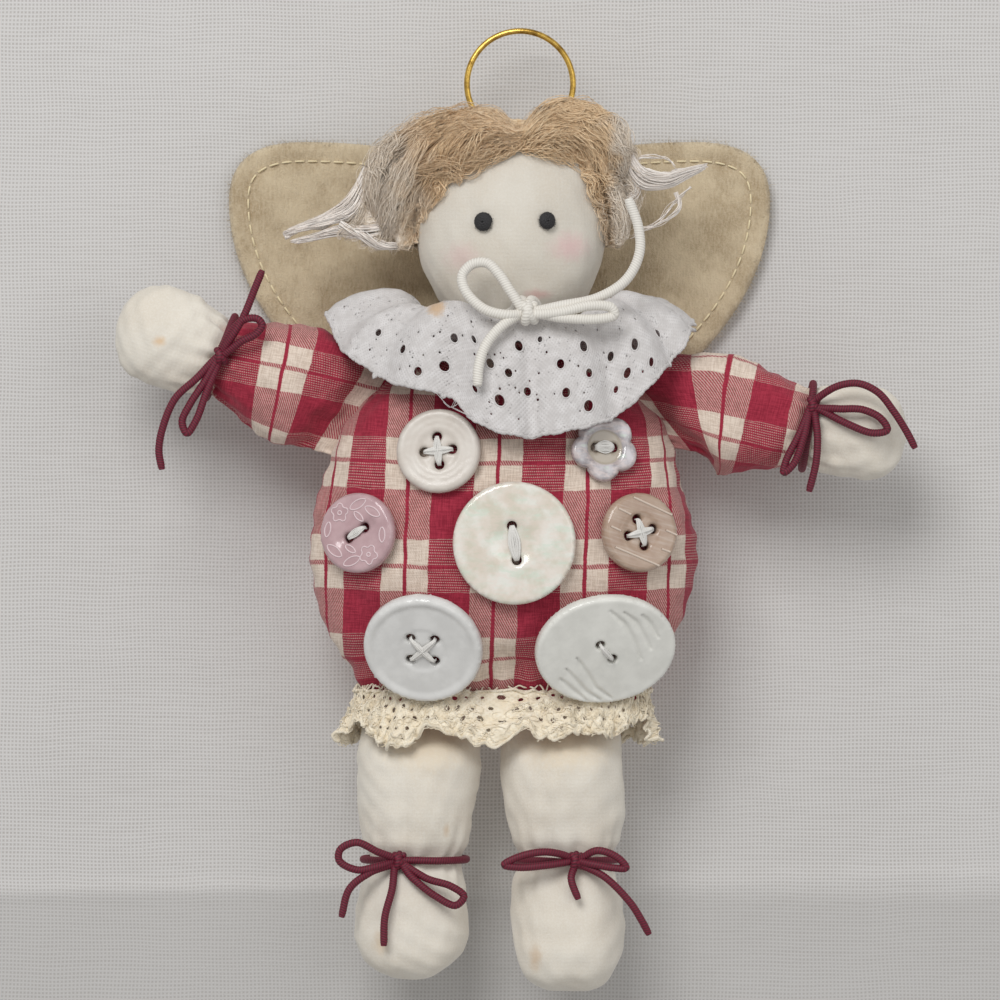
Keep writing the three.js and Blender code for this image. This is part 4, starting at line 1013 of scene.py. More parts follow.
def make_sleeve(name, arm, side, finish):
    limb = arm_frame(arm)
    length = arm["sleeve"]
    rows, columns = detail((96, 168), (40, 60))
    distance = np.linspace(-3.0, length + 0.7, rows)
    angles = even_turn(columns) - np.pi
    width = curve_through([
        (-3.0, ARM["seam_width"] / 2 - 1), (length * 0.4, ARM["sleeve_width"] / 2),
        (length - 3, ARM["wrist_width"] / 2 + 0.9), (length, ARM["wrist_width"] / 2 - 0.4),
        (length + 0.7, ARM["wrist_width"] / 2 - 0.2),
    ])
    depth = curve_through([
        (-3.0, 1.2), (0, 1.6), (length * 0.22, ARM["sleeve_depth"] * 0.4),
        (length * 0.5, ARM["sleeve_depth"] / 2),
        (length - 3, ARM["wrist_depth"] / 2 + 0.8), (length, ARM["wrist_depth"] / 2 - 0.4),
        (length + 0.7, ARM["wrist_depth"] / 2 - 0.2),
    ])

    def across_at(distances):
        turned = ease(distances, 0, 0.6 * length)[:, None]
        return unit(between(limb["seam"], limb["across"], turned))

    grid = rings(limb, distance, angles, width, depth, across_at=across_at, power=2.2)
    normals = grid_normals(grid)
    cloth = limb_cloth(grid, limb, SLEEVE_MARKS[side])
    seam = from_seams(angles, width(distance))
    height = 0.35 * lumps(grid, 13, 11 + arm["side"]) + 0.12 * lumps(grid, 5, 15 + arm["side"])
    height *= ease(distance, 0, 6)[:, None] * fade_out(distance, length - 3, length)[:, None]
    gathers = folds_at(distance, 0, angles, 11, 0.5, 4.0, 21 + arm["side"])
    height += gathers * ease(abs(distance), 0.4, 3)[:, None]
    height += folds_at(distance, length, angles, 12, 0.42, 3.2, 31 + arm["side"])
    pucker = np.cos(2 * np.pi * distance[:, None] / 4.1) * np.exp(-seam / 2.6)
    height += -0.55 * bump(seam, 0.6) + 0.16 * pucker
    sleeve = skin(name, grid + normals * height[..., None], finish, cloth)
    settle(sleeve, None, "plaid", f"sleeve_{side}")
    blend_seam(sleeve)


def tip_share(distance, length, tip, power):
    """How much of a limb's width is left near its rounded tip"""
    into = np.clip((distance - (length - tip)) / tip, 0, 1)
    return np.maximum(1 - into ** power, 0) ** (1 / power)


def tip_places(start, length, tip, rows):
    """Distances along a limb with a rounded tip, closer together where the tip turns over"""
    straight = np.linspace(start, length - tip, int(rows * 0.6), endpoint=False)
    turned = length - tip * (1 - np.sin(np.linspace(0, np.pi / 2 * 0.985, rows - len(straight))))
    return np.concatenate([straight, turned])


def closed_round(curve, end, tip, power):
    """A curve over the distance that closes round the tip"""
    return lambda at: curve(at) * tip_share(at, end, tip, power)


def make_hand(name, body, arm, side, finish):
    limb = arm_frame(arm)
    start = arm["sleeve"]
    end = start + CLEARANCE + arm["hand"]
    tip = arm["hand_width"] * 0.46
    rows, columns = detail((84, 132), (36, 50))
    distance = tip_places(start - 1.6, end, tip, rows)
    angles = even_turn(columns) - np.pi
    width_at = curve_through([
        (start - 1.6, ARM["wrist_width"] / 2 - 1.4), (start + 0.4, ARM["wrist_width"] / 2 - 0.5),
        (start + 2.6, ARM["wrist_width"] / 2 + 0.9), (start + arm["hand"] * 0.45, arm["hand_width"] / 2),
        (end, arm["hand_width"] / 2),
    ])
    depth_at = curve_through([
        (start - 1.6, ARM["wrist_depth"] / 2 - 1.4), (start + 0.4, ARM["wrist_depth"] / 2 - 0.5),
        (start + 2.6, ARM["wrist_depth"] / 2 + 0.5), (start + arm["hand"] * 0.45, ARM["hand_depth"] / 2),
        (end, ARM["hand_depth"] / 2),
    ])
    width, depth = closed_round(width_at, end, tip, 2.3), closed_round(depth_at, end, tip, 2.1)
    grid = rings(limb, distance, angles, width, depth, power=2.1)
    normals = grid_normals(grid)
    cloth = limb_cloth(grid, limb)
    seam = from_seams(angles, np.maximum(width(distance), 0.5))
    height = 0.4 * lumps(grid, 11, 41 + arm["side"]) + 0.12 * lumps(grid, 4.5, 45 + arm["side"])
    height *= ease(distance, start + 1, start + 6)[:, None]
    height += folds_at(distance, start + 0.5, angles, 13, 0.5, 3.4, 51 + arm["side"])
    height -= 0.4 * bump(seam, 0.5) * fade_out(distance, end - 4, end - 0.5)[:, None]
    hand = skin(name, grid + normals * height[..., None], finish, cloth)
    settle(hand, body, "muslin", f"hand_{side}")


def make_leg(name, leg, side, finish):
    limb = leg_frame(leg)
    ankle, reach = LEG["ankle_drop"], leg["reach"]
    foot_middle = (ankle + reach) / 2
    tip = LEG["foot_width"] * 0.48
    rows, columns = detail((130, 150), (50, 56))
    distance = tip_places(-1.4, reach, tip, rows)
    angles = even_turn(columns) - np.pi
    width_at = curve_through([
        (-1.4, LEG["top_width"] / 2), (ankle * 0.4, LEG["width"] / 2),
        (ankle - 4, LEG["ankle_width"] / 2 + 1.5),
        (ankle, LEG["ankle_width"] / 2 - 0.3), (ankle + 3.5, LEG["ankle_width"] / 2 + 0.9),
        (foot_middle, LEG["foot_width"] / 2), (reach, LEG["foot_width"] / 2),
    ])
    depth_at = curve_through([
        (-1.4, 0.8), (0.5, 1.2), (ankle * 0.4, LEG["depth"] / 2), (ankle - 4, LEG["ankle_depth"] / 2 + 1.5),
        (ankle, LEG["ankle_depth"] / 2 - 0.3), (ankle + 3.5, LEG["ankle_depth"] / 2 + 1.0),
        (foot_middle, LEG["foot_depth"] / 2), (reach, LEG["foot_depth"] / 2),
    ])
    forward = curve_through([(0, 0), (ankle, 0), (reach, LEG["toe_forward"])])
    width, depth = (closed_round(curve, reach, tip, 2.15) for curve in (width_at, depth_at))
    grid = rings(limb, distance, angles, width, depth, forward=forward, power=2.1)
    normals = grid_normals(grid)
    cloth = limb_cloth(grid, limb)
    seam = from_seams(angles, np.maximum(width(distance), 0.5))
    own = int(leg["x"])
    height = 0.3 * lumps(grid, 13, 61 + own) + 0.13 * lumps(grid, 5, 66 + own)
    height *= ease(distance, 2, 9)[:, None]
    height += folds_at(distance, ankle, angles, 13, 0.3, 4.0, 71 + own) * ease(distance, 8, 20)[:, None]
    crease = bump(angles[None] * width(distance)[:, None] - leg["crease"], 1.1)
    height -= 0.55 * crease * ease(distance, 12, 24)[:, None] * fade_out(distance, ankle, ankle + 5)[:, None]
    height -= 0.35 * bump(seam, 0.5) * fade_out(distance, reach - 4, reach - 0.5)[:, None]
    made = skin(name, grid + normals * height[..., None], finish, cloth)
    settle(made, None, "muslin", f"leg_{side}")
    blend_seam(made)


def make_head(finish):
    rows, columns = detail((120, 180), (50, 70))
    turn = np.linspace(0.012, np.pi - 0.012, rows)
    angles = even_turn(columns) - np.pi
    ring = np.sin(turn)[:, None]
    x = HEAD["width"] / 2 * ring * np.sin(angles)
    y = -HEAD["depth"] / 2 * ring * np.cos(angles)
    z = np.broadcast_to(HEAD["height"] / 2 * np.cos(turn)[:, None], x.shape)
    grid = np.stack([HEAD["x"] + x, BODY_Y + y, HEAD["z"] + z], -1)
    normals = grid_normals(grid)
    height = 0.22 * lumps(grid, 15, 81) + 0.07 * lumps(grid, 5, 82)
    low = fade_out(z, -20, -15)
    height += 0.35 * np.cos(15 * angles) * low * ring
    for eye in EYES.values():
        away = np.hypot(x - eye["x"], z - eye["z"]) + 100 * (y > 0)
        height -= 0.35 * bump(away, 2.6)
    run = arc_from(grid, columns // 2)
    cloth = np.stack([run, np.broadcast_to((-turn * HEAD["height"] / 2)[:, None], run.shape)], -1)
    head = skin("head_cloth", grid + normals * height[..., None], finish, sides_of(cloth))
    settle(head, "head", "muslin", "head")


# Flat cloth and plates

def inside_loop(points, loop):
    """Which flat points lie inside a closed line"""
    x, y = points[:, :1], points[:, 1:2]
    ax, ay = loop.T
    bx, by = np.roll(ax, -1), np.roll(ay, -1)
    crosses = (ay > y) != (by > y)
    at = ax + (y - ay) / np.where(by == ay, 1e-9, by - ay) * (bx - ax)
    return ((x < at) & crosses).sum(1) % 2 == 1


def away_from(points, marks):
    """The distance from each point to the nearest of the marks, and which one that is"""
    tree = kdtree.KDTree(len(marks))
    for i, mark in enumerate(marks):
        tree.insert((mark[0], mark[1], 0), i)
    tree.balance()
    found = [tree.find((point[0], point[1], 0)) for point in points]
    return np.array([item[2] for item in found]), np.array([item[1] for item in found])


def cut_sheet(outline, holes, spacing):
    """A flat sheet cut to an outline, with holes in it, as points and triangles"""
    low, high = outline.min(0), outline.max(0)
    rows = np.arange(low[1], high[1] + spacing, spacing * 0.866)
    x, y = np.meshgrid(np.arange(low[0], high[0] + spacing, spacing), rows)
    x = x + spacing / 2 * (np.arange(len(rows)) % 2)[:, None]
    inner = np.stack([x.ravel(), y.ravel()], -1)
    loops = [outline, *holes]
    edge = np.concatenate(loops)
    far, _ = away_from(inner, edge)

    def within(points):
        kept = inside_loop(points, outline)
        for hole in holes:
            middle = hole.mean(0)
            near = np.linalg.norm(points - middle, axis=1) < np.linalg.norm(hole - middle, axis=1).max()
            kept[np.flatnonzero(near)[inside_loop(points[near], hole)]] = False
        return kept

    inner = inner[(far > spacing * 0.45) & within(inner)]
    lines = []
    first = 0
    for loop in loops:
        ring = np.arange(len(loop))
        lines.append(np.stack([first + ring, first + (ring + 1) % len(loop)], -1))
        first += len(loop)
    points = np.concatenate([edge, inner])
    result = geometry.delaunay_2d_cdt(
        [tuple(point) for point in points.tolist()], np.concatenate(lines).tolist(), [], 0, 1e-5,
    )
    flat = np.array([tuple(point) for point in result[0]])
    triangles = np.array(result[2])
    return flat, triangles[within(flat[triangles].mean(1))]


def border_of(triangles):
    """The edges that only one triangle has, in its own direction"""
    edges = np.concatenate([triangles[:, [0, 1]], triangles[:, [1, 2]], triangles[:, [2, 0]]])
    ordered = np.sort(edges, axis=1)
    _, first, uses = np.unique(ordered, axis=0, return_index=True, return_counts=True)
    return edges[first[uses == 1]]


def plate(name, flat, triangles, top, bottom, finish):
    """A closed plate between two surfaces over the same flat points"""
    count = len(flat)
    border = border_of(triangles)
    walls = np.stack([border[:, 1], border[:, 0], border[:, 0] + count, border[:, 1] + count], -1)
    faces = [np.concatenate([triangles, triangles[:, ::-1] + count]), walls]
    cloth = np.concatenate([flat, flat])
    corners = np.concatenate([group.ravel() for group in faces])
    points = np.concatenate([top, bottom])
    a, b, c = points[faces[0][:, 0]], points[faces[0][:, 1]], points[faces[0][:, 2]]
    if (a * np.cross(b, c)).sum() < 0:
        faces = [group[:, ::-1] for group in faces]
        corners = np.concatenate([group.ravel() for group in faces])
    return make(name, points, faces, finish, cloth[corners])


def circle(centre, radius, count, squeeze=1.0):
    angles = even_turn(count)
    return np.array(centre) + np.stack([radius * np.cos(angles), radius * squeeze * np.sin(angles)], -1)


# Collar: a strip of eyelet lace gathered round the neck

COLLAR = {
    "x": -1.3, "gather": (7.5, 6.5), "half": 36.2, "front": 22.0, "back": 15.5, "side_crest": 8.6,
    "front_crest": 4.4, "back_crest": 1.4, "side_drop": 5.0, "front_drop": 24.6, "back_drop": 14.0,
    "length": 200.0, "width": 28.0, "thickness": 0.32, "folds": 7.5, "fold_turn": 78.0, "fold_height": 1.6,
    "squeeze": 0.95,
}
# How far the front's edge is lifted from an even fall: place across over the half width, and lift
COLLAR_LIFT = curve_through([
    (-1, -2.6), (-0.86, -2.2), (-0.65, 0.2), (-0.48, 3.6), (-0.34, 5.4), (-0.2, 2.2), (0, 0.6), (0.25, -0.4),
    (0.5, -2.8), (0.65, -3.9), (0.78, -4.8), (0.9, -5.4), (1, -2.6),
])
# Valleys between the front's soft folds: angle round the neck, half width and depth
COLLAR_VALLEYS = ((-138, 8, 0.8), (-109, 6, 1.1), (-84, 3.5, 0.8), (-55, 6, 1.0), (-28, 7, 0.8))
COLLAR_RISE = curve_through([(0, 0), (0.2, 0.02), (0.55, 1), (0.78, 0.78), (0.92, 0.4), (1, 0)])
COLLAR_FALL = curve_through([(0, 0), (0.2, 0), (0.55, 0), (0.78, 0.22), (0.92, 0.6), (1, 1)])


def collar_at(run, share):
    """Where the strip lies: share goes from its gathers to its edge, with no regard to distance"""
    angle = np.pi / 2 + 2 * np.pi * run / COLLAR["length"]
    sine, cosine = np.sin(angle), np.cos(angle)
    front = sine < 0
    hang = np.abs(sine) ** 2.2
    reach = np.where(front, COLLAR["front"], COLLAR["back"])
    crest = between(COLLAR["side_crest"], np.where(front, COLLAR["front_crest"], COLLAR["back_crest"]), hang)
    drop = between(COLLAR["side_drop"], np.where(front, COLLAR["front_drop"], COLLAR["back_drop"]), hang)
    x = COLLAR["x"] + cosine * between(COLLAR["gather"][0], COLLAR["half"], share)
    y = BODY_Y + sine * between(COLLAR["gather"][1], reach, share)
    ahead = fade_out(sine, -0.4, 0)
    crest = crest + (2.4 * ease(cosine, 0.55, 0.9) - 1.6 * fade_out(cosine, -1, -0.75)) * ahead
    lift = COLLAR_LIFT(cosine) * ahead * np.maximum(share, 0) ** 1.7
    z = NECK_Z + 0.45 + crest * COLLAR_RISE(share) + (crest - drop) * COLLAR_FALL(share) + lift
    y = y + 0.3 * np.minimum(lift, 0)
    return np.stack([x, y, z], -1)


def even_shares(runs, count):
    """For each run, the shares that lie an even distance apart down the strip"""
    shares = np.linspace(0, 1, 4 * count + 1)
    spots = collar_at(runs[:, None], shares[None])
    steps = np.linalg.norm(np.diff(spots, axis=1), axis=2)
    arcs = np.concatenate([np.zeros((len(runs), 1)), np.cumsum(steps, axis=1)], 1)
    even = np.linspace(0, 1, count + 1)
    return np.array([np.interp(even * arc[-1], arc, shares) for arc in arcs])


COLLAR_ROWS = 160
COLLAR_COLUMNS = 60
COLLAR_SHARES = even_shares(np.linspace(0, COLLAR["length"], COLLAR_ROWS + 1), COLLAR_COLUMNS)


def collar_base(run, down):
    """Where the strip lies, with distances down it kept"""
    run, down = np.broadcast_arrays(run, down)
    row = np.clip(run / COLLAR["length"], 0, 1) * (COLLAR_ROWS - 0.001)
    column = np.clip(down / COLLAR["width"], 0, 1) * (COLLAR_COLUMNS - 0.001)
    i, j = row.astype(int), column.astype(int)
    upper = between(COLLAR_SHARES[i, j], COLLAR_SHARES[i, j + 1], column - j)
    lower = between(COLLAR_SHARES[i + 1, j], COLLAR_SHARES[i + 1, j + 1], column - j)
    beyond = down / COLLAR["width"] - np.clip(down / COLLAR["width"], 0, 1)
    return collar_at(run, between(upper, lower, row - i) + beyond * 0.6)


def lay_on(base, run, down, height):
    """Points over a strip's own surface, at a height above it"""
    step = 0.05
    onwards = base(run + step, down) - base(run - step, down)
    outwards = base(run, down + step) - base(run, down - step)
    return base(run, down) + unit(np.cross(outwards, onwards)) * np.asarray(height)[..., None]


def collar_height(run, down):
    """The folds, gathers and ripples"""
    share = down / COLLAR["width"]
    angle = np.degrees(np.pi / 2 + 2 * np.pi * run / COLLAR["length"])
    angle = np.where(angle > 180, angle - 360, angle)
    turn = np.radians(COLLAR["folds"] * (angle + COLLAR["fold_turn"]))
    broad = np.cos(turn + 0.5 * np.sin(turn * 0.37))
    valley = np.zeros(np.shape(angle))
    for at, wide, deep in COLLAR_VALLEYS:
        valley = np.maximum(valley, deep * bump(angle - at, wide))
    broad = between(broad, 0.75 - 1.75 * valley, fade_out(np.sin(np.radians(angle)), -0.5, -0.1))
    broad = COLLAR["fold_height"] * broad * ease(share, 0.1, 0.8)
    pleats = 0.5 * np.cos(2 * np.pi * run / 3.7 + 1.4 * np.sin(run / 9))
    pleats = pleats * np.exp(-share * 4.6) * ease(share, 0, 0.06)
    ripple = 0.28 * np.sin(run / 3.1 + 2 * np.sin(run / 11)) * ease(share, 0.3, 1)
    return broad + pleats + ripple


# Larger holes on the front, as seen there: across, up, and radius
COLLAR_HOLES = (
    (-27.8, -60.4, 0.65), (-23.0, -63.4, 0.78), (-13.2, -61.4, 0.78), (-20.2, -68.0, 0.78),
    (-15.0, -67.0, 0.91), (-6.2, -66.4, 0.78), (-0.4, -63.0, 0.85), (-2.6, -68.4, 0.72),
    (-4.2, -73.6, 0.91), (1.4, -72.0, 0.72), (8.0, -66.4, 0.78), (12.4, -63.0, 0.91),
    (13.4, -68.4, 0.72), (17.6, -65.0, 0.72), (8.8, -72.0, 0.78), (13.4, -74.6, 0.91),
    (22.4, -62.6, 0.85), (21.2, -68.4, 0.72), (27.0, -60.4, 0.72), (25.6, -66.0, 0.65),
    (31.0, -56.2, 0.65), (3.6, -61.6, 0.52), (-8.8, -71.6, 0.52), (18.6, -71.6, 0.52), (-9.0, -61.8, 0.52),
)


def eyelet_places():
    """The holes of the embroidery: middles along and down the strip, and radii"""
    source = np.random.default_rng(5)
    run, down = np.meshgrid(np.arange(50, 150, 0.5), np.arange(9, 26.8, 0.3))
    seen = lay_on(collar_base, run, down, collar_height(run, down))
    places = []
    for x, z, radius in COLLAR_HOLES:
        nearest = ((seen[..., 0] - x) ** 2 + (seen[..., 2] - z) ** 2).argmin()
        places.append((run.ravel()[nearest], down.ravel()[nearest], radius))
    motif = ((0.0, 13.0, 0.7), (5.2, 16.0, 0.75), (0.4, 19.4, 0.75), (5.0, 22.6, 0.75))
    for start in np.concatenate([np.arange(3, 46, 10.0), np.arange(154, 194, 10.0)]):
        for across, at, radius in motif:
            places.append((start + across + source.normal(0, 0.2), at + source.normal(0, 0.2), radius))
    wanted = len(places) + 250
    while len(places) < wanted:
        pin = (source.uniform(4, COLLAR["length"] - 4), source.uniform(8, 26.4), source.uniform(0.14, 0.25))
        if min(math.hypot(pin[0] - x, (pin[1] - at) * 1.4) - radius for x, at, radius in places) > 0.62:
            places.append(pin)
    return places


def lace_plate(name, base, flat, triangles, height, thickness, finish):
    """Cut lace laid over a strip's own surface, at a height above it"""
    top, bottom = (lay_on(base, *flat.T, height + side * thickness / 2) for side in (1, -1))
    return plate(name, flat, triangles, top, bottom, finish)


def collar_edge(run):
    """How far down the scalloped edge lies"""
    return COLLAR["width"] - 0.3 * np.abs(np.cos(np.pi * run / 5.0)) - 0.06 * np.sin(run * 5.1)


LACE_THREAD = 0.36


def lace_finish(name, light, shade, dots):
    finish = Finish(name, Roughness=0.92, Sheen_Weight=0.2, Specular_IOR_Level=0.2)
    cloth = finish.cloth()
    along, over, _ = finish.parts(cloth)
    turn = math.pi / LACE_THREAD
    weave = (along * turn).sine() * (over * turn).sine()
    thin = finish.cells(finish.joined(along, over * 1.4), 1.35)
    pin = (1 - thin.fade(0.12, 0.24)) * finish.noise(cloth, 0.3, 2).fade(0.46, 0.6)
    cloudy = finish.noise(finish.place(), 0.5, 4, 0.65).fade(0.3, 0.75)
    tint = finish.mix(cloudy, shade, light)
    tint = finish.mix(weave.fade(0.1, 0.9), tint, shade)
    finish.colour(finish.mix(pin * dots, tint, tone(120, 112, 112)))
    finish.relief(weave * 0.4 - pin * 1.5, 0.08)
    return finish


STAIN = {"x": -16.6, "z": -55.2, "core": 1.6, "reach": 3.6}


def collar_finish():
    """The collar's lace, with a ragged stain left of the middle"""
    finish = lace_finish("eyelet_lace", tone(220, 217, 216), tone(200, 196, 194), 0.3)
    place = finish.place()
    x, _, z = finish.parts(place)
    away = ((x - STAIN["x"]) ** 2 + (z - STAIN["z"]) ** 2).root()
    ragged = away + finish.noise(place, 1.2, 3) * 2.0
    stain = 1 - ragged.fade(STAIN["core"], STAIN["reach"])
    finish.colour(finish.mix(stain * 0.75, finish.tint, tone(205, 168, 124)))
    return finish


def collar_outline():
    """The strip's edge as it lies flat, from the scalloped side round to the gathered one"""
    run = np.arange(0, COLLAR["length"], 0.5)
    lower = np.stack([run, collar_edge(run)], -1)
    sides_down = np.arange(0, 27, 0.9)[::-1]
    right = np.stack([np.full(len(sides_down), COLLAR["length"] - 0.01), sides_down], -1)
    back_along = np.arange(COLLAR["length"] - 0.6, 0, -0.6)
    upper = np.stack([back_along, np.zeros(len(back_along))], -1)
    left = np.stack([np.zeros(len(sides_down)), sides_down[::-1]], -1)
    outline = np.concatenate([lower, right, upper, left[:-1]])
    return outline[np.concatenate([[True], np.linalg.norm(np.diff(outline, axis=0), axis=1) > 0.05])]


def eyelet_stitching(places, finish):
    """A ring of thread round each large hole"""
    rims = []
    turns = np.linspace(0, 2 * np.pi, 15)
    for across, down, size in places:
        if size > 0.3:
            at = across + (size + 0.12) * np.cos(turns)
            low = down + (size + 0.12) * COLLAR["squeeze"] * np.sin(turns)
            rims.append(lay_on(collar_base, at, low, collar_height(at, low) + 0.2))
    stitched = tubes("collar_eyelet_stitching", rims, 0.17, finish, sides=5)
    return settle(stitched, "torso", "eyelet_lace")


def collar_thread_ends(finish):
    """Loose ends along the worn part of the edge"""
    source = np.random.default_rng(12)
    ends = []
    for _ in range(14):
        start = source.uniform(84, 118)
        share = np.linspace(0, 1, 10)
        drift = np.cumsum(source.normal(0, 0.5, 10))
        run = start + share * source.uniform(-5, 5) + drift * 0.35
        down = collar_edge(run) + 0.2 + 1.6 * np.sin(np.pi * share) * source.uniform(0.15, 0.8)
        ends.append(lay_on(collar_base, run, down, collar_height(run, down) + source.uniform(0, 0.5)))
    return settle(tubes("collar_loose_threads", ends, 0.06, finish), "torso", "eyelet_lace")


def make_collar():
    finish = collar_finish()
    outline = collar_outline()
    places = [item for item in eyelet_places() if 2 < item[0] < COLLAR["length"] - 2]
    holes = [circle(item[:2], item[2], 12 if item[2] > 0.3 else 6, COLLAR["squeeze"]) for item in places]
    flat, triangles = cut_sheet(outline, holes, detail(0.9, 1.6))
    marks = np.array([item[:2] for item in places])
    far, nearest = away_from(flat, marks)
    radius = np.array([item[2] for item in places])[nearest]
    raised = 0.12 * bump(far - radius - 0.1, 0.35)
    height = collar_height(*flat.T) + raised
    collar = lace_plate("collar_lace", collar_base, flat, triangles, height, COLLAR["thickness"], finish)
    settle(collar, "torso", "eyelet_lace", "collar")
    along = np.arange(0.3, COLLAR["length"] - 0.3, 0.16)
    path = lay_on(collar_base, along, collar_edge(along), collar_height(along, collar_edge(along)))
    edging = cord_tube("collar_edging", path, 0.4, finish, sides=8, ribs=0.62, rib_height=0.09)
    settle(edging, "torso", "eyelet_lace")
    pieces = [edging, eyelet_stitching(places, finish), collar_thread_ends(finish)]


# Hem lace: a narrow strip of crochet ruffled round the hem

HEM = {
    "drop": 69.0, "height": 12.0, "spread": 4.0, "front": 6.0, "length": 170.0, "gap": 0.75, "thickness": 0.3,
}


def hem_base(run, down):
    """Where the strip lies before it is ruffled"""
    angle = np.pi / 2 + 2 * np.pi * run / HEM["length"]
    share = down / HEM["height"]
    power = TORSO["squareness"]
    half = float(TORSO_WIDTHS(HEM["drop"])) + HEM["gap"] + HEM["spread"] * share
    deep = float(TORSO_DEPTHS(HEM["drop"])) + HEM["gap"] + HEM["front"] * share
    x = TORSO["x"] + squared_off(np.cos(angle), power) * half
    y = BODY_Y + squared_off(np.sin(angle), power) * deep
    x = x - 2.8 * ease(np.cos(angle), 0.2, 0.9) * share
    z = TORSO["top"] - HEM["drop"] - down
    return np.stack([x, y, z], -1)


def hem_height(run, down):
    """The ruffles and crimps"""
    share = down / HEM["height"]
    folds = np.cos(2 * np.pi * run / 7.4 + 1.5 * np.sin(run / 12.7))
    folds = folds + 0.5 * np.sin(2 * np.pi * run / 3.7 + run / 9)
    crimps = 0.35 * np.sin(run * 2.3 + down + 2 * np.sin(run * 0.7)) + 0.3 * np.sin(down * 1.9 + run * 0.6)
    return folds * 1.1 * ease(share, 0, 0.9) + crimps


# How far the lace hangs in front: place across, and drop
HEM_FALL = curve_through([
    (-36, 4.4), (-33, 5.6), (-30, 6.2), (-27, 8.9), (-23, 11.4), (-20, 10.6), (-17.6, 7.6), (-14, 8.0),
    (-10, 10.0), (-6, 11.2), (-3, 9.8), (0, 7.8), (4, 9.6), (8, 9.2), (12, 8.2), (16, 9.2), (19, 8.2),
    (22, 6.4), (25, 5.4), (28, 4.6),
])


def hem_edge(run):
    """How far down the scalloped edge lies"""
    angle = np.pi / 2 + 2 * np.pi * run / HEM["length"]
    place = hem_base(run, np.zeros(np.shape(run)))[..., 0]
    fall = between(10.4, HEM_FALL(place), fade_out(np.sin(angle), -0.35, -0.05))
    scallops = 0.9 * (1 - np.abs(np.sin(np.pi * run / 3.6 + 0.6 * np.sin(run / 5))) ** 0.6)
    return fall - scallops + 0.3 * np.sin(run * 2.7)


def hem_threads(finish, source):
    """Small loops and floats of thread, which lie all over the lace"""
    strands = []
    share = np.linspace(0, 1, 13)
    for k in range(detail(1000, 100)):
        start = source.uniform(3, HEM["length"] - 3)
        height_at = source.uniform(0.2, 1.05) * hem_edge(start)
        if k % 3:
            turn = 2 * np.pi * share * source.uniform(0.7, 1.05) + source.uniform(0, 6.28)
            run = start + source.uniform(0.4, 1.1) * np.cos(turn)
            down = height_at + source.uniform(0.4, 1.0) * np.sin(turn)
        else:
            run = start + source.uniform(-3.4, 3.4) * share
            run = run + 0.35 * np.sin(share * 12 + source.uniform(0, 6))
            down = height_at + source.uniform(-2.6, 2.6) * share
            down = down + 0.3 * np.cos(share * 10 + source.uniform(0, 6))
        down = np.clip(down, -0.4, hem_edge(run) + source.uniform(0.1, 0.9))
        above = source.uniform(0.08, 0.3) + 0.2 * np.sin(np.pi * share) * source.uniform(0, 1)
        strands.append(lay_on(hem_base, run, down, hem_height(run, down) + above))
    return settle(tubes("hem_lace_threads", strands, 0.09, finish, sides=4), "torso", "crochet_lace")


def make_hem_lace():
    finish = lace_finish("crochet_lace", tone(250, 242, 224), tone(238, 225, 200), 0.1)
    run = np.arange(0, HEM["length"], 0.45)
    lower = np.stack([run, hem_edge(run)], -1)
    top_run = np.arange(HEM["length"] - 0.5, 0.2, -0.7)
    outline = np.concatenate([lower, np.stack([top_run, np.zeros(len(top_run))], -1)])
    source = np.random.default_rng(8)
    places = []
    for run_at in np.arange(2, HEM["length"] - 2, 2.3):
        for row in range(5):
            across = run_at + 1.15 * (row % 2) + source.normal(0, 0.25)
            down = 1.5 + 2.0 * row + source.normal(0, 0.2)
            size = source.uniform(0.28, 0.55)
            if down < hem_edge(across) - size - 1.0:
                places.append((across, down, size))
    kept = [place for place in places if 1 < place[0] < HEM["length"] - 1]
    holes = [circle((across, down), size, 6) for across, down, size in kept]
    flat, triangles = cut_sheet(outline, holes, detail(1.1, 2.0))
    ground = lace_plate(
        "hem_lace_ground", hem_base, flat, triangles, hem_height(*flat.T), HEM["thickness"], finish,
    )
    settle(ground, "torso", "crochet_lace", "hem_lace")
    along = np.arange(0.3, HEM["length"] - 0.3, 0.2)
    lines = (
        ("hem_lace_edging", hem_edge(along) - 0.1, 0.34),
        ("hem_lace_heading", 0.3 + 0.2 * np.sin(along * 2.1), 0.3),
        ("hem_lace_frill", -0.5 + 0.9 * np.sin(2 * np.pi * along / 1.9) * np.sin(along / 3.1), 0.17),
        ("hem_lace_wave", hem_edge(along) - 1.6 + 0.5 * np.sin(2 * np.pi * along / 2.1), 0.18),
    )
    for name, down, radius in lines:
        path = lay_on(hem_base, along, down, hem_height(along, down) + 0.22)
        line = cord_tube(name, path, radius, finish, sides=7, ribs=0.6, rib_height=0.2)
        settle(line, "torso", "crochet_lace")
    hem_threads(finish, source)


# Wings: two layers of felt sewn together round the edge

WINGS = {
    "x": -4.1, "span": 109.0, "felt": 1.2, "top": 21.1, "lobe_top": 39.5, "notch": 34.0, "outer_drop": 33.0,
    "point": 89.0, "seam": 3.9, "stitch": 1.75, "gap": 0.85,
}


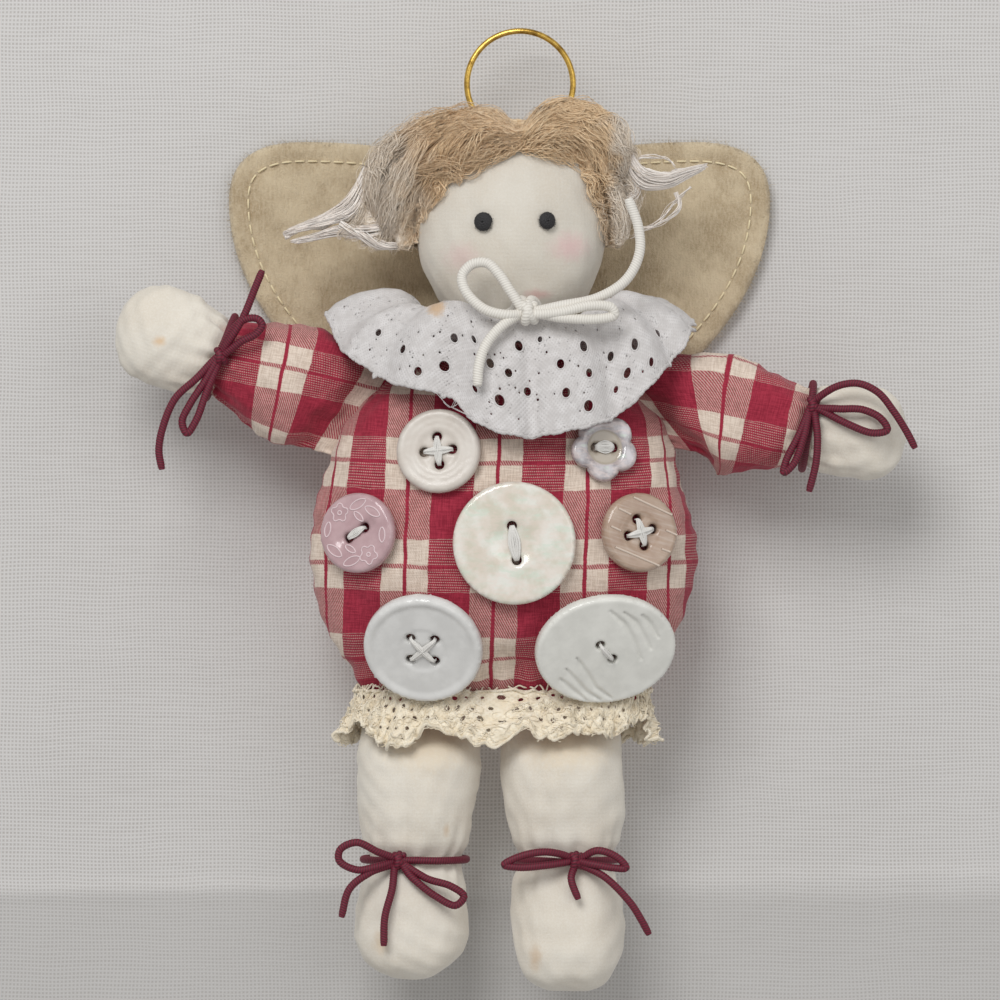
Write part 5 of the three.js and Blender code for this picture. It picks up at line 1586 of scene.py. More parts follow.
def wing_outline():
    half, top, drop, point = WINGS["span"] / 2, WINGS["top"], WINGS["outer_drop"], WINGS["point"]
    places = np.array([
        (0, -WINGS["notch"]), (WINGS["lobe_top"] * 0.25, -top - 2), (WINGS["lobe_top"] * 0.6, -top),
        (WINGS["lobe_top"], -top), (half * 0.93, -top), (half, -(top + (drop - top) * 0.4)), (half, -drop),
        (half, -(drop + (point - drop) * 0.4)), (half * 0.62, -(drop + (point - drop) * 0.76)), (0, -point),
    ])
    t = np.linspace(0, 1, 60, endpoint=False)[:, None]
    right = []
    for i in range(0, 9, 3):
        a, b, c, d = places[i:i + 4]
        right.append(a * (1 - t) ** 3 + 3 * b * t * (1 - t) ** 2 + 3 * c * t * t * (1 - t) + d * t ** 3)
    right = np.concatenate(right + [places[-1:]])
    left = right[::-1][1:-1] * [-1, 1]
    loop = np.concatenate([right, left])
    closed = np.concatenate([loop, loop[:1]])
    run = distances_along(closed)
    return picked(closed, np.arange(0, run[-1], 0.8), run) + [WINGS["x"], 0]


def inset(loop, depth):
    """A closed line moved inwards"""
    onwards = unit(np.roll(loop, -2, 0) - np.roll(loop, 2, 0))
    inwards = np.stack([onwards[:, 1], -onwards[:, 0]], -1)
    if inside_loop(loop + inwards * 0.2, loop).mean() < 0.5:
        inwards = -inwards
    return loop + inwards * depth


def wing_layers(outline, finish):
    """Two layers of felt, each pressed in along the seam on its outer side"""
    flat, triangles = cut_sheet(outline, [], detail(1.0, 2.2))
    far, _ = away_from(flat, outline)
    place = np.stack([flat[:, 0], np.zeros(len(flat)), flat[:, 1]], -1)
    felt = WINGS["felt"]
    rounded = felt / 2 * rounded_off(far / 0.6, 0.02)
    sewn_in = 0.34 * bump(far - WINGS["seam"], 0.8)
    layers = []
    for layer, name in enumerate(("wing_front_layer", "wing_back_layer")):
        front = WINGS_Y + layer * (felt + CLEARANCE)
        back = front + felt
        soft = 0.1 * lumps(place, 9, 90 + layer)
        outer_in = rounded + sewn_in + soft + 0.1
        inner_in = rounded + 0.02
        shifts = (outer_in, inner_in) if layer == 0 else (inner_in, outer_in)
        top = place + np.array([0, 1, 0]) * (front + shifts[0])[:, None]
        bottom = place + np.array([0, 1, 0]) * (back - shifts[1])[:, None]
        wing = plate(name.replace("layer", "felt"), flat, triangles, top, bottom, finish)
        layers.append(settle(wing, "torso", "felt", name))
    return layers


def wing_stitches(outline):
    """The running stitch through both layers, as it shows on the front and on the back"""
    thread = speckled(
        "wing_thread", 5.0, 2, tone(222, 203, 158), tone(240, 228, 196), 0.05,
        Roughness=0.7, Sheen_Weight=0.2,
    )
    seam = inset(outline, WINGS["seam"])
    closed = np.concatenate([seam, seam[:1]])
    run = distances_along(closed)
    starts = np.arange(0, run[-1] - WINGS["stitch"], WINGS["stitch"] + WINGS["gap"])
    share = np.linspace(0, 1, 7)
    back = WINGS_Y + 2 * WINGS["felt"] + CLEARANCE
    stitches = []
    for depth, bow, shift in ((WINGS_Y + 0.36, -0.34, 0.0), (back - 0.36, 0.34, 1.3)):
        for start in starts + shift:
            at = np.clip(start + share * WINGS["stitch"], 0, run[-1])
            x, z = picked(closed, at, run).T
            stitches.append(np.stack([x, depth + bow * np.sin(np.pi * share) ** 0.6, z], -1))
    return settle(tubes("wing_stitches", stitches, 0.2, thread, sides=6), "torso", "white_thread")


def wing_fuzz(outline, finish, source):
    """Short fibres that stand out from the cut edges"""
    count = detail(2600, 300)
    which = source.integers(0, len(outline), count)
    outwards = -(inset(outline, 1.0) - outline)[which]
    base = outline[which] - outwards * source.uniform(0.1, 1.2, (count, 1))
    depth = WINGS_Y + source.uniform(0.1, 2.5, count)
    length = source.uniform(0.5, 1.35, (count, 1))
    flat_sway = outwards + source.normal(0, 0.7, (count, 2))
    sway = unit(np.concatenate([flat_sway, source.normal(0, 0.6, (count, 1))], 1))
    share = np.linspace(0, 1, 4)[None, :, None]
    bend = source.normal(0, 0.35, (count, 1, 3)) * share ** 2
    path = np.stack([base[:, 0], depth, base[:, 1]], -1)[:, None]
    path = path + (sway[:, [0, 2, 1]] * length)[:, None] * share + bend
    path[..., 1] = np.clip(path[..., 1], WINGS_Y - 0.2, 12.6)
    return settle(tubes("wing_fuzz", path, np.linspace(0.05, 0.015, 4), finish), "torso", "felt")


def wing_thread_end(source):
    """A tangle of dark thread left on the front of the felt"""
    mark = np.array([-44.0, WINGS_Y - 0.15, -59.0])
    share = np.linspace(0, 1, 8)[:, None]
    spare = []
    for _ in range(7):
        drift = np.cumsum(source.normal(0, 0.25, (8, 3)), axis=0) * [1, 0.12, 0.5]
        spare.append(mark + share * [3.2, 0, -0.4] + drift)
    spare = np.array(spare)
    spare[..., 1] = np.minimum(spare[..., 1], WINGS_Y - 0.05)
    dark = speckled("dark_thread", 4.0, 2, tone(48, 36, 40), tone(90, 60, 66), Roughness=0.8)
    return settle(tubes("wing_thread_end", spare, 0.12, dark, sides=4), "torso", "black_knot")


def make_wings():
    finish = felt_finish()
    outline = wing_outline()
    source = np.random.default_rng(14)
    front, back = wing_layers(outline, finish)
    pieces = [wing_stitches(outline), wing_fuzz(outline, finish, source), wing_thread_end(source)]


# Hair: a combed mass with curly locks laid over it, swept from a parting to a lobe on each side

FACE = {"z": -43.2, "half_width": 18.2, "half_height": 19.0}
# Where the hair's edge over the face leaves the oval: place across, width and shift
FACE_ARCH = ((-9.8, 5.2, 0.14), (12.6, 4.0, -0.07))
HAIR = {
    "proud": 4.8, "back": 9.3, "lobe_depth": 9.5, "strands": 16,
    "lobes": ((-17.2, 10.4, 12.8, 14.6), (13.6, 16.6, 10.8, 10.8)),
}
HAIR_FLOWS = {
    "left": (
        ((1.6, -16.8), (-4, -14.8), (-10, -13.8), (-16, -14.4), (-22.4, -16.8), (-28, -20.8), (-30.6, -26.2),
         (-32, -31), (-33.2, -35.4), (-35.6, -38.6)),
        ((1.2, -18.8), (-4, -16.8), (-10, -16), (-15.6, -17), (-21.6, -19.8), (-26.4, -24.2), (-29.4, -29.6),
         (-30.6, -34.4), (-32.2, -38.2), (-35, -40.4)),
        ((0.8, -21.2), (-4, -19.2), (-9.2, -18.8), (-14.4, -20.4), (-19.6, -23.6), (-24, -28.2),
         (-26.8, -33.2), (-28.2, -37.4), (-29.6, -40.6), (-31, -42)),
        ((0.4, -22.6), (-4, -22.2), (-8.4, -23), (-12.8, -25.2), (-16.8, -28.2), (-20.4, -32), (-23.2, -35.8),
         (-25, -39.4), (-26.4, -42), (-27.6, -43)),
        ((0, -23.8), (-3.4, -25), (-7, -27), (-11, -29.4), (-14.8, -31.8), (-17.8, -34.8), (-19.6, -37.6),
         (-20.8, -40), (-22, -42), (-23, -43)),
    ),
    "right": (
        ((-0.4, -16.8), (4, -13.4), (9, -12.2), (14, -12.8), (18, -14.6), (20.8, -17.4), (21.8, -21),
         (22.4, -24.8), (23.2, -28.4), (22.8, -32.4)),
        ((0, -18.8), (4, -15.8), (9, -14.6), (14, -15.2), (17.4, -17), (19.6, -20), (20.8, -23.6),
         (21.6, -27.6), (22.2, -31.6), (22.4, -35.6)),
        ((0.2, -21.2), (4.2, -18.6), (8.6, -17.8), (12.6, -19), (15.8, -21.6), (18, -24.8), (19.6, -28.4),
         (20.8, -32.4), (21.6, -36.2), (21.4, -38.8)),
        ((0.4, -23.2), (4, -21.6), (8, -21.4), (11.6, -23), (14.2, -25.8), (16.4, -29.4), (18, -33.2),
         (19, -36.6), (19.8, -39.4), (20, -41.4)),
        ((0.2, -23.6), (3.6, -24.2), (6.8, -25.4), (10, -27), (12.8, -29.2), (15, -32.4), (16.6, -36),
         (17.4, -39), (18, -41.2), (18.6, -42.8)),
    ),
}
# White locks and loose wisps: places across, up and forward, with the half width there; then the
# strands in each and how loosely they lie
HAIR_LOCKS = (
    (((-30.4, -27, 1, 0.7), (-31.8, -31.4, 1.4, 1.5), (-33.8, -35, 1.6, 2.1), (-38.6, -37.4, 1.4, 1.3),
      (-43, -38.8, 1, 0.8), (-47.2, -40.2, 0.6, 0.35)), 170, 0.2),
    (((-26, -39, 2, 1.2), (-31, -40, 2, 1.5), (-36.4, -39.8, 1.4, 1.1), (-41, -41, 1, 0.7),
      (-45.8, -42, 0.6, 0.3)), 90, 0.3),
    (((-36, -38.6, 2.2, 0.8), (-31, -41, 2.4, 1.0), (-27.4, -42.8, 2.2, 0.9),
      (-23.4, -42.6, 2, 0.5)), 50, 0.45),
    (((19.4, -18, 2.4, 0.5), (20.6, -21.8, 2.6, 0.9), (21.6, -25.6, 2.6, 1.4), (24.2, -29.2, 2.2, 2.3),
      (29, -29.8, 1.8, 1.7), (33.2, -28.2, 1.4, 1.1), (37.4, -26.7, 0.8, 0.4)), 210, 0.15),
    (((17, -36, 3, 0.9), (20, -34.4, 2.6, 1.1), (22.6, -32.8, 2, 0.8), (23.6, -29.8, 1.6, 0.5)), 40, 0.5),
    (((22.8, -26.4, 1.6, 0.3), (24, -25.2, 1.6, 0.3), (27, -25, 1.4, 0.3), (29.6, -25.8, 1.2, 0.3),
      (31.2, -27.6, 1.2, 0.2)), 6, 0.35),
    (((31, -32, 1, 0.3), (31.8, -34.8, 1, 0.3), (29.6, -37.4, 1.2, 0.3), (26.6, -38.8, 1.4, 0.4),
      (22.4, -39.6, 1.6, 0.3)), 7, 0.4),
    (((34, -31, 1, 0.2), (30.6, -34, 1, 0.3), (26.6, -38.4, 1.2, 0.4), (21.6, -41.2, 1.6, 0.3)), 6, 0.4),
)


def hair_depths(x, z):
    """Over a place seen from the front: how far forward the hair reaches where it is full, and the
    share of that which is left where it thins out to the edge of the face"""
    out_x, out_z = x - HEAD["x"], z - HEAD["z"]

    def dome(proud):
        half, tall, deep = (HEAD[key] / 2 + proud for key in ("width", "height", "depth"))
        return deep * np.sqrt(np.clip(1 - (out_x / half) ** 2 - (out_z / tall) ** 2, 0, 1))

    full = dome(HAIR["proud"])
    for lobe_x, lobe_z, half, tall in HAIR["lobes"]:
        away = ((out_x - lobe_x) / half) ** 2 + ((out_z - lobe_z) / tall) ** 2
        full = np.maximum(full, HAIR["lobe_depth"] * np.sqrt(np.clip(1 - away, 0, 1)))
    full = np.maximum(full, 1.3)
    rim = np.hypot(out_x / FACE["half_width"], (z - FACE["z"]) / FACE["half_height"])
    above = ease(z, -40, -34)
    for rim_x, spread, shift in FACE_ARCH:
        rim = rim + shift * above * bump(x - rim_x, spread)
    return full, between(np.minimum(dome(0.4), full) / full, 1, ease(rim, 0.96, 1.34))


def crown_fall(x, z):
    """How far the hair's top lies lower than its full round, most of all along the parting"""
    parting = 2.6 * bump(x + 0.6, 3.4) * ease(z, -22, -15)
    return 0.12 * np.maximum(z + 24, 0) + parting


FLOW_STEPS = 60
STRAND_POINTS = 20


def lock_lines(side, locks, t, source):
    """The middles of a side's locks, which run between its lines of flow, and the lane that each keeps to"""
    flows = []
    for flow in HAIR_FLOWS[side]:
        line = along_line([(x, 0, z) for x, z in flow], 0.4)
        flows.append(picked(line[:, [0, 2]], np.linspace(0, len(line) - 1, FLOW_STEPS)))
    flows = np.array(flows)
    lane = source.uniform(0, len(flows) - 1, (locks, 1)) + source.normal(0, 0.5, (locks, 1)) * (2 * t - 1)
    lane = np.clip(lane, 0.9, len(flows) - 1.001)
    start = np.maximum(source.uniform(-0.3, 0.74, (locks, 1)), 0)
    run = np.clip(start + source.uniform(0.18, 0.42, (locks, 1)) * t, 0, 1) * (FLOW_STEPS - 1.01)
    row, step = lane.astype(int), run.astype(int)
    beside, onward = (lane - row)[..., None], (run - step)[..., None]
    upper = between(flows[row, step], flows[row, step + 1], onward)
    lower = between(flows[row + 1, step], flows[row + 1, step + 1], onward)
    flat = between(upper, lower, beside)
    for _ in range(2):
        turn = 2 * np.pi * (source.uniform(0.5, 1.9, (locks, 1)) * t + source.uniform(0, 1, (locks, 1)))
        sway = source.uniform(0.15, 0.75, (locks, 1))
        flat = flat + np.stack([sway * np.sin(turn), sway * np.cos(turn * 0.8)], -1)
    return flat, lane


def hair_strands(name, side, locks, finish, seed):
    """Curly strands, gathered in locks that follow the side's flow from the parting outwards"""
    source = np.random.default_rng(seed)
    t = np.linspace(0, 1, STRAND_POINTS)
    flat, lane = lock_lines(side, locks, t, source)
    behind = source.uniform(0, 1, (locks, 1)) < 0.26
    depth = np.where(behind, source.uniform(0.55, 1, (locks, 1)), 0.3 * source.uniform(0, 1, (locks, 1)) ** 2)
    lift = source.uniform(-0.2, 1.0, (locks, 1)) * ~behind * np.sin(np.pi * t) ** 0.6
    twist = source.normal(0, 1.5, (locks, 1))
    width = source.uniform(0.6, 2.0, (locks, 1))
    loose = source.uniform(0, 1, (locks, 1)) < 0.24
    width = np.where(loose, 2.2, width)
    lift = np.where(loose, source.uniform(0, 1.7, (locks, 1)) * np.sin(np.pi * t) ** 0.6, lift)
    outer = np.where(lane < 1.3, 0.5, 0.1) * loose * (1 if side == "right" else -1)
    each = HAIR["strands"]
    flat, depth, lift, twist, width, loose, outer = (
        np.repeat(item, each, axis=0) for item in (flat, depth, lift, twist, width, loose, outer)
    )
    count = locks * each
    onwards = unit(np.gradient(flat, axis=1))
    turn = source.uniform(0, 2 * np.pi, (count, 1)) + twist * t
    reach = np.sqrt(source.uniform(0, 1, (count, 1))) * width * (0.35 + 0.65 * np.sin(np.pi * t) ** 0.7)
    curl = source.uniform(0.04, 0.62, (count, 1)) ** 1.5 * np.where(loose, 1.9, 1)
    coil = 2 * np.pi * (source.uniform(1, 3.4, (count, 1)) * t + source.uniform(0, 1, (count, 1)))
    across = reach * np.cos(turn) + curl * np.cos(coil)
    across = across + outer * source.uniform(0, 1.5, (count, 1)) * np.sin(np.pi * t)
    flat = flat + np.stack([-onwards[..., 1], onwards[..., 0]], -1) * across[..., None]
    full, share = hair_depths(flat[..., 0], flat[..., 1])
    front = BODY_Y - full * share
    rear = np.minimum(BODY_Y + full, HAIR["back"])
    y = between(front, rear, depth) - lift * share - np.abs(reach * np.sin(turn)) * 0.6
    y = y + curl * np.sin(coil) - 0.1
    fallen = flat[..., 1] - crown_fall(flat[..., 0], flat[..., 1])
    path = np.stack([flat[..., 0], np.clip(y, BODY_Y - 20.5, HAIR["back"] + 0.2), fallen], -1)
    radii = 0.075 * np.linspace(1, 0.5, STRAND_POINTS) * source.uniform(0.6, 1.4, (count, 1))
    return settle(tubes(name, path, radii, finish), "head", "mohair")


def hair_finish(name, each):
    """Golden hair that turns pale at its sides; each strand has its own shade where each is true"""
    finish = Finish(name, Roughness=0.6, Sheen_Weight=0.2, Sheen_Roughness=0.4)
    place = finish.place()
    x, y, z = finish.parts(place)
    streak = finish.noise(finish.joined(x * 1.1, y * 0.8, z), 1.2, 3, 0.6).fade(0.3, 0.72)
    if each:
        streak = streak * 0.45 + finish.own_shade() * 0.55
    golden = finish.mix(streak, tone(206, 170, 127), tone(252, 228, 192))
    pale = finish.mix(streak, tone(218, 201, 179), tone(253, 243, 230))
    wavering = x + (finish.noise(place, 0.22, 3) - 0.5) * 12.0
    sides = (1 - wavering.fade(-26.0, -17.0)).maximum(wavering.fade(15.0, 20.5))
    low = (1 - z.fade(-42.0, -31.0)) * 0.4
    finish.colour(finish.mix(sides.maximum(low), golden, pale))
    if not each:
        tips = (1 - x.fade(-38.0, -34.0)).maximum(x.fade(23.5, 26.0))
        finish.colour(finish.mix(tips, finish.tint, tone(236, 227, 218)))
        finish.relief(streak, 0.25)
    return finish


# Where each side's tuft begins, and the line from its root to its tip
TUFTS = (
    {"side": -1, "edge": -31.0, "root": (-28.6, -35.6), "tip": (-47.0, -41.2)},
    {"side": 1, "edge": 22.6, "root": (18.0, -29.8), "tip": (36.9, -27.0)},
)


def thin_tufts(points):
    """Draw the tufts in towards their middle lines, under the loose locks"""
    for tuft in TUFTS:
        side, root, tip = tuft["side"], np.array(tuft["root"]), np.array(tuft["tip"])
        direction = unit(tip - root)
        flat = points[:, [0, 2]]
        along = (flat - root) @ direction
        axis = root + along[:, None] * direction
        thin = ease(side * points[:, 0], side * tuft["edge"] - 1.5, side * tuft["edge"] + 2.5)
        keep = 1 - 0.55 * thin
        points[:, [0, 2]] = axis + (flat - axis) * keep[:, None]
        points[:, 1] = BODY_Y + (points[:, 1] - BODY_Y) * keep


def make_hair_mass(finish):
    """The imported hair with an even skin, thinned out to the face, combed, and drawn in under the locks"""
    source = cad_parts["hair"]
    copy = bpy.data.objects.new("hair_mass", source.data.copy())
    bpy.context.scene.collection.objects.link(copy)
    remesh = copy.modifiers.new("even", "REMESH")
    remesh.mode = "VOXEL"
    remesh.voxel_size = detail(0.8, 1.6) * MM
    relax = copy.modifiers.new("relax", "SMOOTH")
    relax.factor = 0.5
    relax.iterations = 14
    bpy.context.view_layer.update()
    formed = bpy.data.meshes.new_from_object(copy.evaluated_get(bpy.context.evaluated_depsgraph_get()))
    bpy.data.objects.remove(copy)
    points = np.zeros(len(formed.vertices) * 3)
    formed.vertices.foreach_get("co", points)
    normals = np.zeros(len(formed.vertices) * 3)
    formed.vertices.foreach_get("normal", normals)
    points, normals = points.reshape(-1, 3) / MM, normals.reshape(-1, 3)
    thin_tufts(points)
    combed = lumps(points * [1, 0.6, 1], 5.0, 101) * 0.4 + lumps(points, 2.2, 102) * 0.12
    facing = fade_out(points[:, 1] - 8.9, -0.8, 0)
    points += normals * ((combed - 0.8) * facing)[:, None]
    points[:, 0] += 0.3 * fade_out(points[:, 0], -28, -16) * np.clip(points[:, 2] + 33, -5, 14)
    _, share = hair_depths(points[:, 0], points[:, 2])
    front = points[:, 1] < BODY_Y
    points[front, 1] = BODY_Y + (points[front, 1] - BODY_Y) * share[front]
    points[:, 2] -= crown_fall(points[:, 0], points[:, 2])
    formed.vertices.foreach_set("co", (points * MM).ravel())
    formed.materials.clear()
    formed.materials.append(finish.material)
    formed.shade_smooth()
    mass = bpy.data.objects.new("hair_mass", formed)
    bpy.context.scene.collection.objects.link(mass)
    settle(mass, "head", "mohair", "hair")


def make_hair_locks(finish):
    source = np.random.default_rng(115)
    t = np.linspace(0, 1, 22)
    bundles = []
    for places, strands, loose in HAIR_LOCKS:
        count = max(3, strands // detail(1, 3))
        places = np.array(places)
        line = along_line([(x, BODY_Y - forward, z) for x, z, forward, _ in places], 0.3)
        across, up = carried_frames(line)
        spots = t * source.uniform(0.84, 1, (count, 1)) * (len(line) - 1)

        def at(values):
            return picked(values, spots)

        half = np.interp(spots / (len(line) - 1), np.linspace(0, 1, len(places)), places[:, 3])
        turn = source.uniform(0, 2 * np.pi, (count, 1)) + source.normal(0, 0.6, (count, 1)) * t
        reach = np.sqrt(source.uniform(0, 1, (count, 1))) * half
        coil = 2 * np.pi * (source.uniform(0.6, 2.2, (count, 1)) * t + source.uniform(0, 1, (count, 1)))
        wide = reach * np.cos(turn) + 0.7 * loose * np.cos(coil)
        deep = 0.6 * reach * np.sin(turn) + 0.7 * loose * np.sin(coil)
        bundles.append(at(line) + wide[..., None] * at(across) + deep[..., None] * at(up))
    path = np.concatenate(bundles)
    radii = 0.135 * np.linspace(1, 0.5, 22) * source.uniform(0.7, 1.3, (len(path), 1))
    settle(tubes("hair_locks", path, radii, finish), "head", "mohair")


def make_hair():
    make_hair_mass(hair_finish("mohair_mass", False))
    strands = hair_finish("mohair", True)
    few = detail(1, 8)
    hair_strands("hair_left", "left", 270 // few, strands, 111)
    hair_strands("hair_right", "right", 240 // few, strands, 112)
    white = Finish("mohair_white", Roughness=0.6, Sheen_Weight=0.2, Sheen_Roughness=0.4)
    white.colour(white.mix(white.own_shade(), tone(228, 217, 207), tone(252, 246, 240)))
    make_hair_locks(white)


# Eyes, ring and tack

def make_eyes():
    finish = speckled(
        "black_thread", 6.0, 2, tone(9, 8, 10), tone(30, 29, 33), 0.06, Roughness=0.6, Sheen_Weight=0.1,
    )
    source = np.random.default_rng(31)
    for side, eye in EYES.items():
        point, outward = face_point(eye["x"], eye["z"])
        stand = frame_on(point, outward)
        radius = eye["diameter"] / 2
        t = np.linspace(0, 1, 260)
        turns = 2 * np.pi * 4.6 * t
        reach = (radius - 0.42) * (1 - t ** 1.4) + 0.12
        height = 0.28 + 0.72 * np.sqrt(t)
        coil = np.stack([reach * np.cos(turns), reach * 1.04 * np.sin(turns), height], -1)
        coil = placed(stand, coil)
        knot = cord_tube(f"eye_knot_{side}", coil, 0.4, finish, sides=9, ribs=0.5, rib_height=0.1)
        settle(knot, "head", "black_knot", f"eye_{side}")
        core = np.stack([0 * t, 0 * t, 0.2 + 0.7 * t], -1)[::20]
        middle = cord_tube(f"eye_core_{side}", placed(stand, core), radius * 0.62, finish, sides=14, ribs=0)
        settle(middle, "head", "black_knot")
        strands = []
        for _ in range(46):
            angle = source.uniform(0, 6.28)
            share = np.linspace(0, 1, 6)
            far = radius * 0.75 + source.uniform(0.25, 0.75) * share * radius * 0.6
            bend = angle + source.normal(0, 0.35) * share
            strands.append(np.stack([far * np.cos(bend), far * np.sin(bend), 0.35 - 0.2 * share], -1))
        fuzz = tubes(f"eye_fibres_{side}", placed(stand, strands), 0.035, finish)
        settle(fuzz, "head", "black_knot")


def make_ring():
    finish = Finish("brass_wire", Metallic=1.0, Roughness=0.26)
    worn = finish.noise(finish.place(), 0.5, 3, 0.6)
    finish.colour(finish.mix(worn.fade(0.35, 0.7), tone(214, 178, 92), tone(150, 116, 52)))
    finish.relief(finish.noise(finish.place(), 6.0, 2), 0.01)
    steps, sides = 180, 18
    turns, around = even_turn(steps), even_turn(sides)
    reach = RING["radius"] + RING["wire"] * np.cos(around)[None]
    x, z = reach * np.cos(turns)[:, None], reach * np.sin(turns)[:, None] + RING["z"]
    y = np.broadcast_to(RING["wire"] * np.sin(around)[None], x.shape)
    points = np.stack([x, y, z], -1).reshape(-1, 3)
    row, column = np.meshgrid(np.arange(steps), np.arange(sides), indexing="ij")
    here, after = row * sides, (row + 1) % steps * sides
    beside = (column + 1) % sides
    faces = np.stack([here + column, here + beside, after + beside, after + column], -1).reshape(-1, 4)
    settle(make("wire_ring", points, faces[:, ::-1], finish), "ring", "brass_wire", "halo_ring")


def white_thread_finish():
    return speckled(
        "white_thread", 5.0, 3, tone(206, 202, 196), tone(240, 239, 235), 0.05,
        Roughness=0.7, Sheen_Weight=0.2,
    )


def make_tack(finish):
    """The staple of threads that sews the foot of the ring to the head"""
    foot = np.array([0, 0, RING["z"] - RING["radius"]])
    strands = []
    for k in range(4):
        angles = np.linspace(-0.35, np.pi + 0.35, 24)
        reach = 1.15 + 0.06 * k
        across = (k - 1.5) * 0.3
        strands.append(np.stack([
            np.full(24, across) + 0.1 * np.sin(angles * 2 + k), reach * np.sin(angles) - 0.15,
            foot[2] - reach * np.cos(angles),
        ], -1))
    tack = tubes("ring_thread", strands, 0.17, finish, sides=6)
    settle(tack, "head", "white_thread", "ring_tack")


# Buttons

def rim_line(button):
    """The outline of a button: round, long or with petals"""
    count = 120
    radius = button["diameter"] / 2
    long = button.get("long", button["diameter"]) / button["diameter"]
    angles = even_turn(count)
    if button.get("petals"):
        lobe = np.abs(np.cos(button["petals"] / 2 * (angles - math.radians(button["petal_turn"]))))
        reach = radius * (0.8 + 0.2 * lobe ** 0.8)
    else:
        reach = np.full(count, radius)
    return np.stack([reach * np.cos(angles) * long, reach * np.sin(angles)], -1)


def holes_of(button):
    angles = np.radians(button["turn"] + 360 * np.arange(button["holes"]) / button["holes"])
    return np.stack([np.cos(angles), np.sin(angles)], -1) * button["circle"] / 2


def line_distance(flat, line):
    """How far flat points are from a line through the given places, and how far along it they are"""
    line = np.array(line, float)
    fine = picked(line, np.linspace(0, len(line) - 1, 48))
    away = np.linalg.norm(flat[:, None] - fine[None], axis=2)
    return away.min(1), away.argmin(1) / (len(fine) - 1)


# Carved lines of the oval button, and the taupe one's pale ones, across and up from the middle
OVAL_LINES = (
    ((-0.2, 9.2), (3.0, 6.2), (4.9, 3.2), (7.2, -1.6)), ((2.6, 8.9), (5.3, 6.6), (7.0, 3.9), (8.9, 0.7)),
    ((6.3, 8.3), (8.2, 6.2), (10.1, 3.3)), ((-5.8, -1.4), (-3.5, -4.8), (-1.2, -8.3), (2.3, -10.7)),
    ((-7.7, -3.9), (-5.6, -6.4), (-3.1, -9.2), (0, -11.0)), ((-8.6, -6.2), (-6.2, -8.5), (-2.7, -11.2)),
)
TAUPE_LINES = (
    ((-1.6, 6.9), (6.4, 3.4)), ((-4.8, 4.7), (-2.2, 3.5)), ((-6.5, 1.2), (-4.4, 0.3)),
    ((5.1, 0.4), (7.4, -0.6)), ((4.1, -3.3), (5.9, -3.9)), ((-5.7, -2.9), (3.5, -6.6)),
)
# Flowers and leaves engraved on the pink button: middle, size and turn
PINK_FLOWERS = ((-3.5, 3.9, 1.9, 0.3), (3.0, -4.3, 2.0, 1.1))
PINK_LEAVES = (
    (0.4, 5.6, 1.9, 0.5), (3.6, 4.2, 1.8, -0.5), (-6.0, 0.6, 1.5, 1.4), (5.8, -0.4, 1.5, 1.6),
    (-0.6, -5.6, 1.9, 0.4), (-4.4, -3.6, 1.9, -0.6), (0.6, 3.2, 1.3, 2.4), (-1.0, -3.2, 1.3, 2.6),
)
LINE_TONES = {
    "pink": (tone(214, 190, 194), tone(228, 208, 210)),
    "taupe": (tone(206, 188, 172), tone(218, 202, 188)),
}
LINE_RADII = {"pink": 0.15, "taupe": 0.24}


def shown_lines(name):
    """Pale lines that lie in a button's face"""
    t = np.linspace(0, 1, 26)[:, None]
    if name == "taupe":
        return [np.array(start) * (1 - t) + np.array(end) * t for start, end in TAUPE_LINES]
    lines = []
    angles = 2 * np.pi * t[:, 0]
    if name == "pink":
        for x, z, size, turn in PINK_FLOWERS:
            reach = size * (0.6 + 0.4 * np.abs(np.cos(2.5 * angles)))
            lines.append(np.stack([x + reach * np.cos(angles + turn), z + reach * np.sin(angles + turn)], -1))
            lines.append(np.stack([x + 0.4 * np.cos(angles), z + 0.4 * np.sin(angles)], -1))
        for x, z, size, turn in PINK_LEAVES:
            long, wide = size * np.cos(angles), size * 0.42 * np.sin(angles) * np.abs(np.sin(angles)) ** 0.3
            lines.append(np.stack([x + long * math.cos(turn) - wide * math.sin(turn),
                                   z + long * math.sin(turn) + wide * math.cos(turn)], -1))
    return lines


def button_top(name, button, flat):
    """The height of a button's face over its flat places"""
    long = button.get("long", button["diameter"]) / button["diameter"]
    reach = np.hypot(flat[:, 0] / long, flat[:, 1])
    radius, rim, dish, full = button["diameter"] / 2, button["rim"], button["dish"], button["thickness"]
    inner = radius - rim
    height = np.full(len(flat), full)
    height -= dish * fade_out(reach, inner - 0.35, inner + 0.35)
    if name == "ivory":
        height -= 0.14 * bump(reach - inner - 0.6, 0.22)
        height -= 0.25 * fade_out(reach, 3.4, 4.4)
    if name == "flower":
        height -= 0.15 * bump(reach - inner, 0.3)
    if name == "pink":
        slot = np.abs(-flat[:, 0] * math.sin(0.56) + flat[:, 1] * math.cos(0.56))
        height -= 0.4 * fade_out(slot, 0.8, 1.4) * fade_out(reach, 3.6, 5.0)
    if name == "pearl":
        height -= 0.6 * fade_out(reach, 2.0, 5.4)
        height -= 0.25 * ease(reach, 6, radius)
    if name == "taupe":
        height -= 0.3 * fade_out(reach, 3.4, 3.9)
    if name == "white":
        height += 0.12 * bump(reach - radius + 0.9, 0.5)
        height -= 0.2 * fade_out(reach, 4.3, 4.9)
    if name == "oval":
        height += 0.35 * fade_out(reach, 0, radius)
        for line in OVAL_LINES:
            away, along = line_distance(flat, line)
            height -= 0.55 * bump(away, 0.5 * np.sin(np.pi * np.clip(along, 0.04, 0.96)) ** 0.5 + 0.04)
    return height


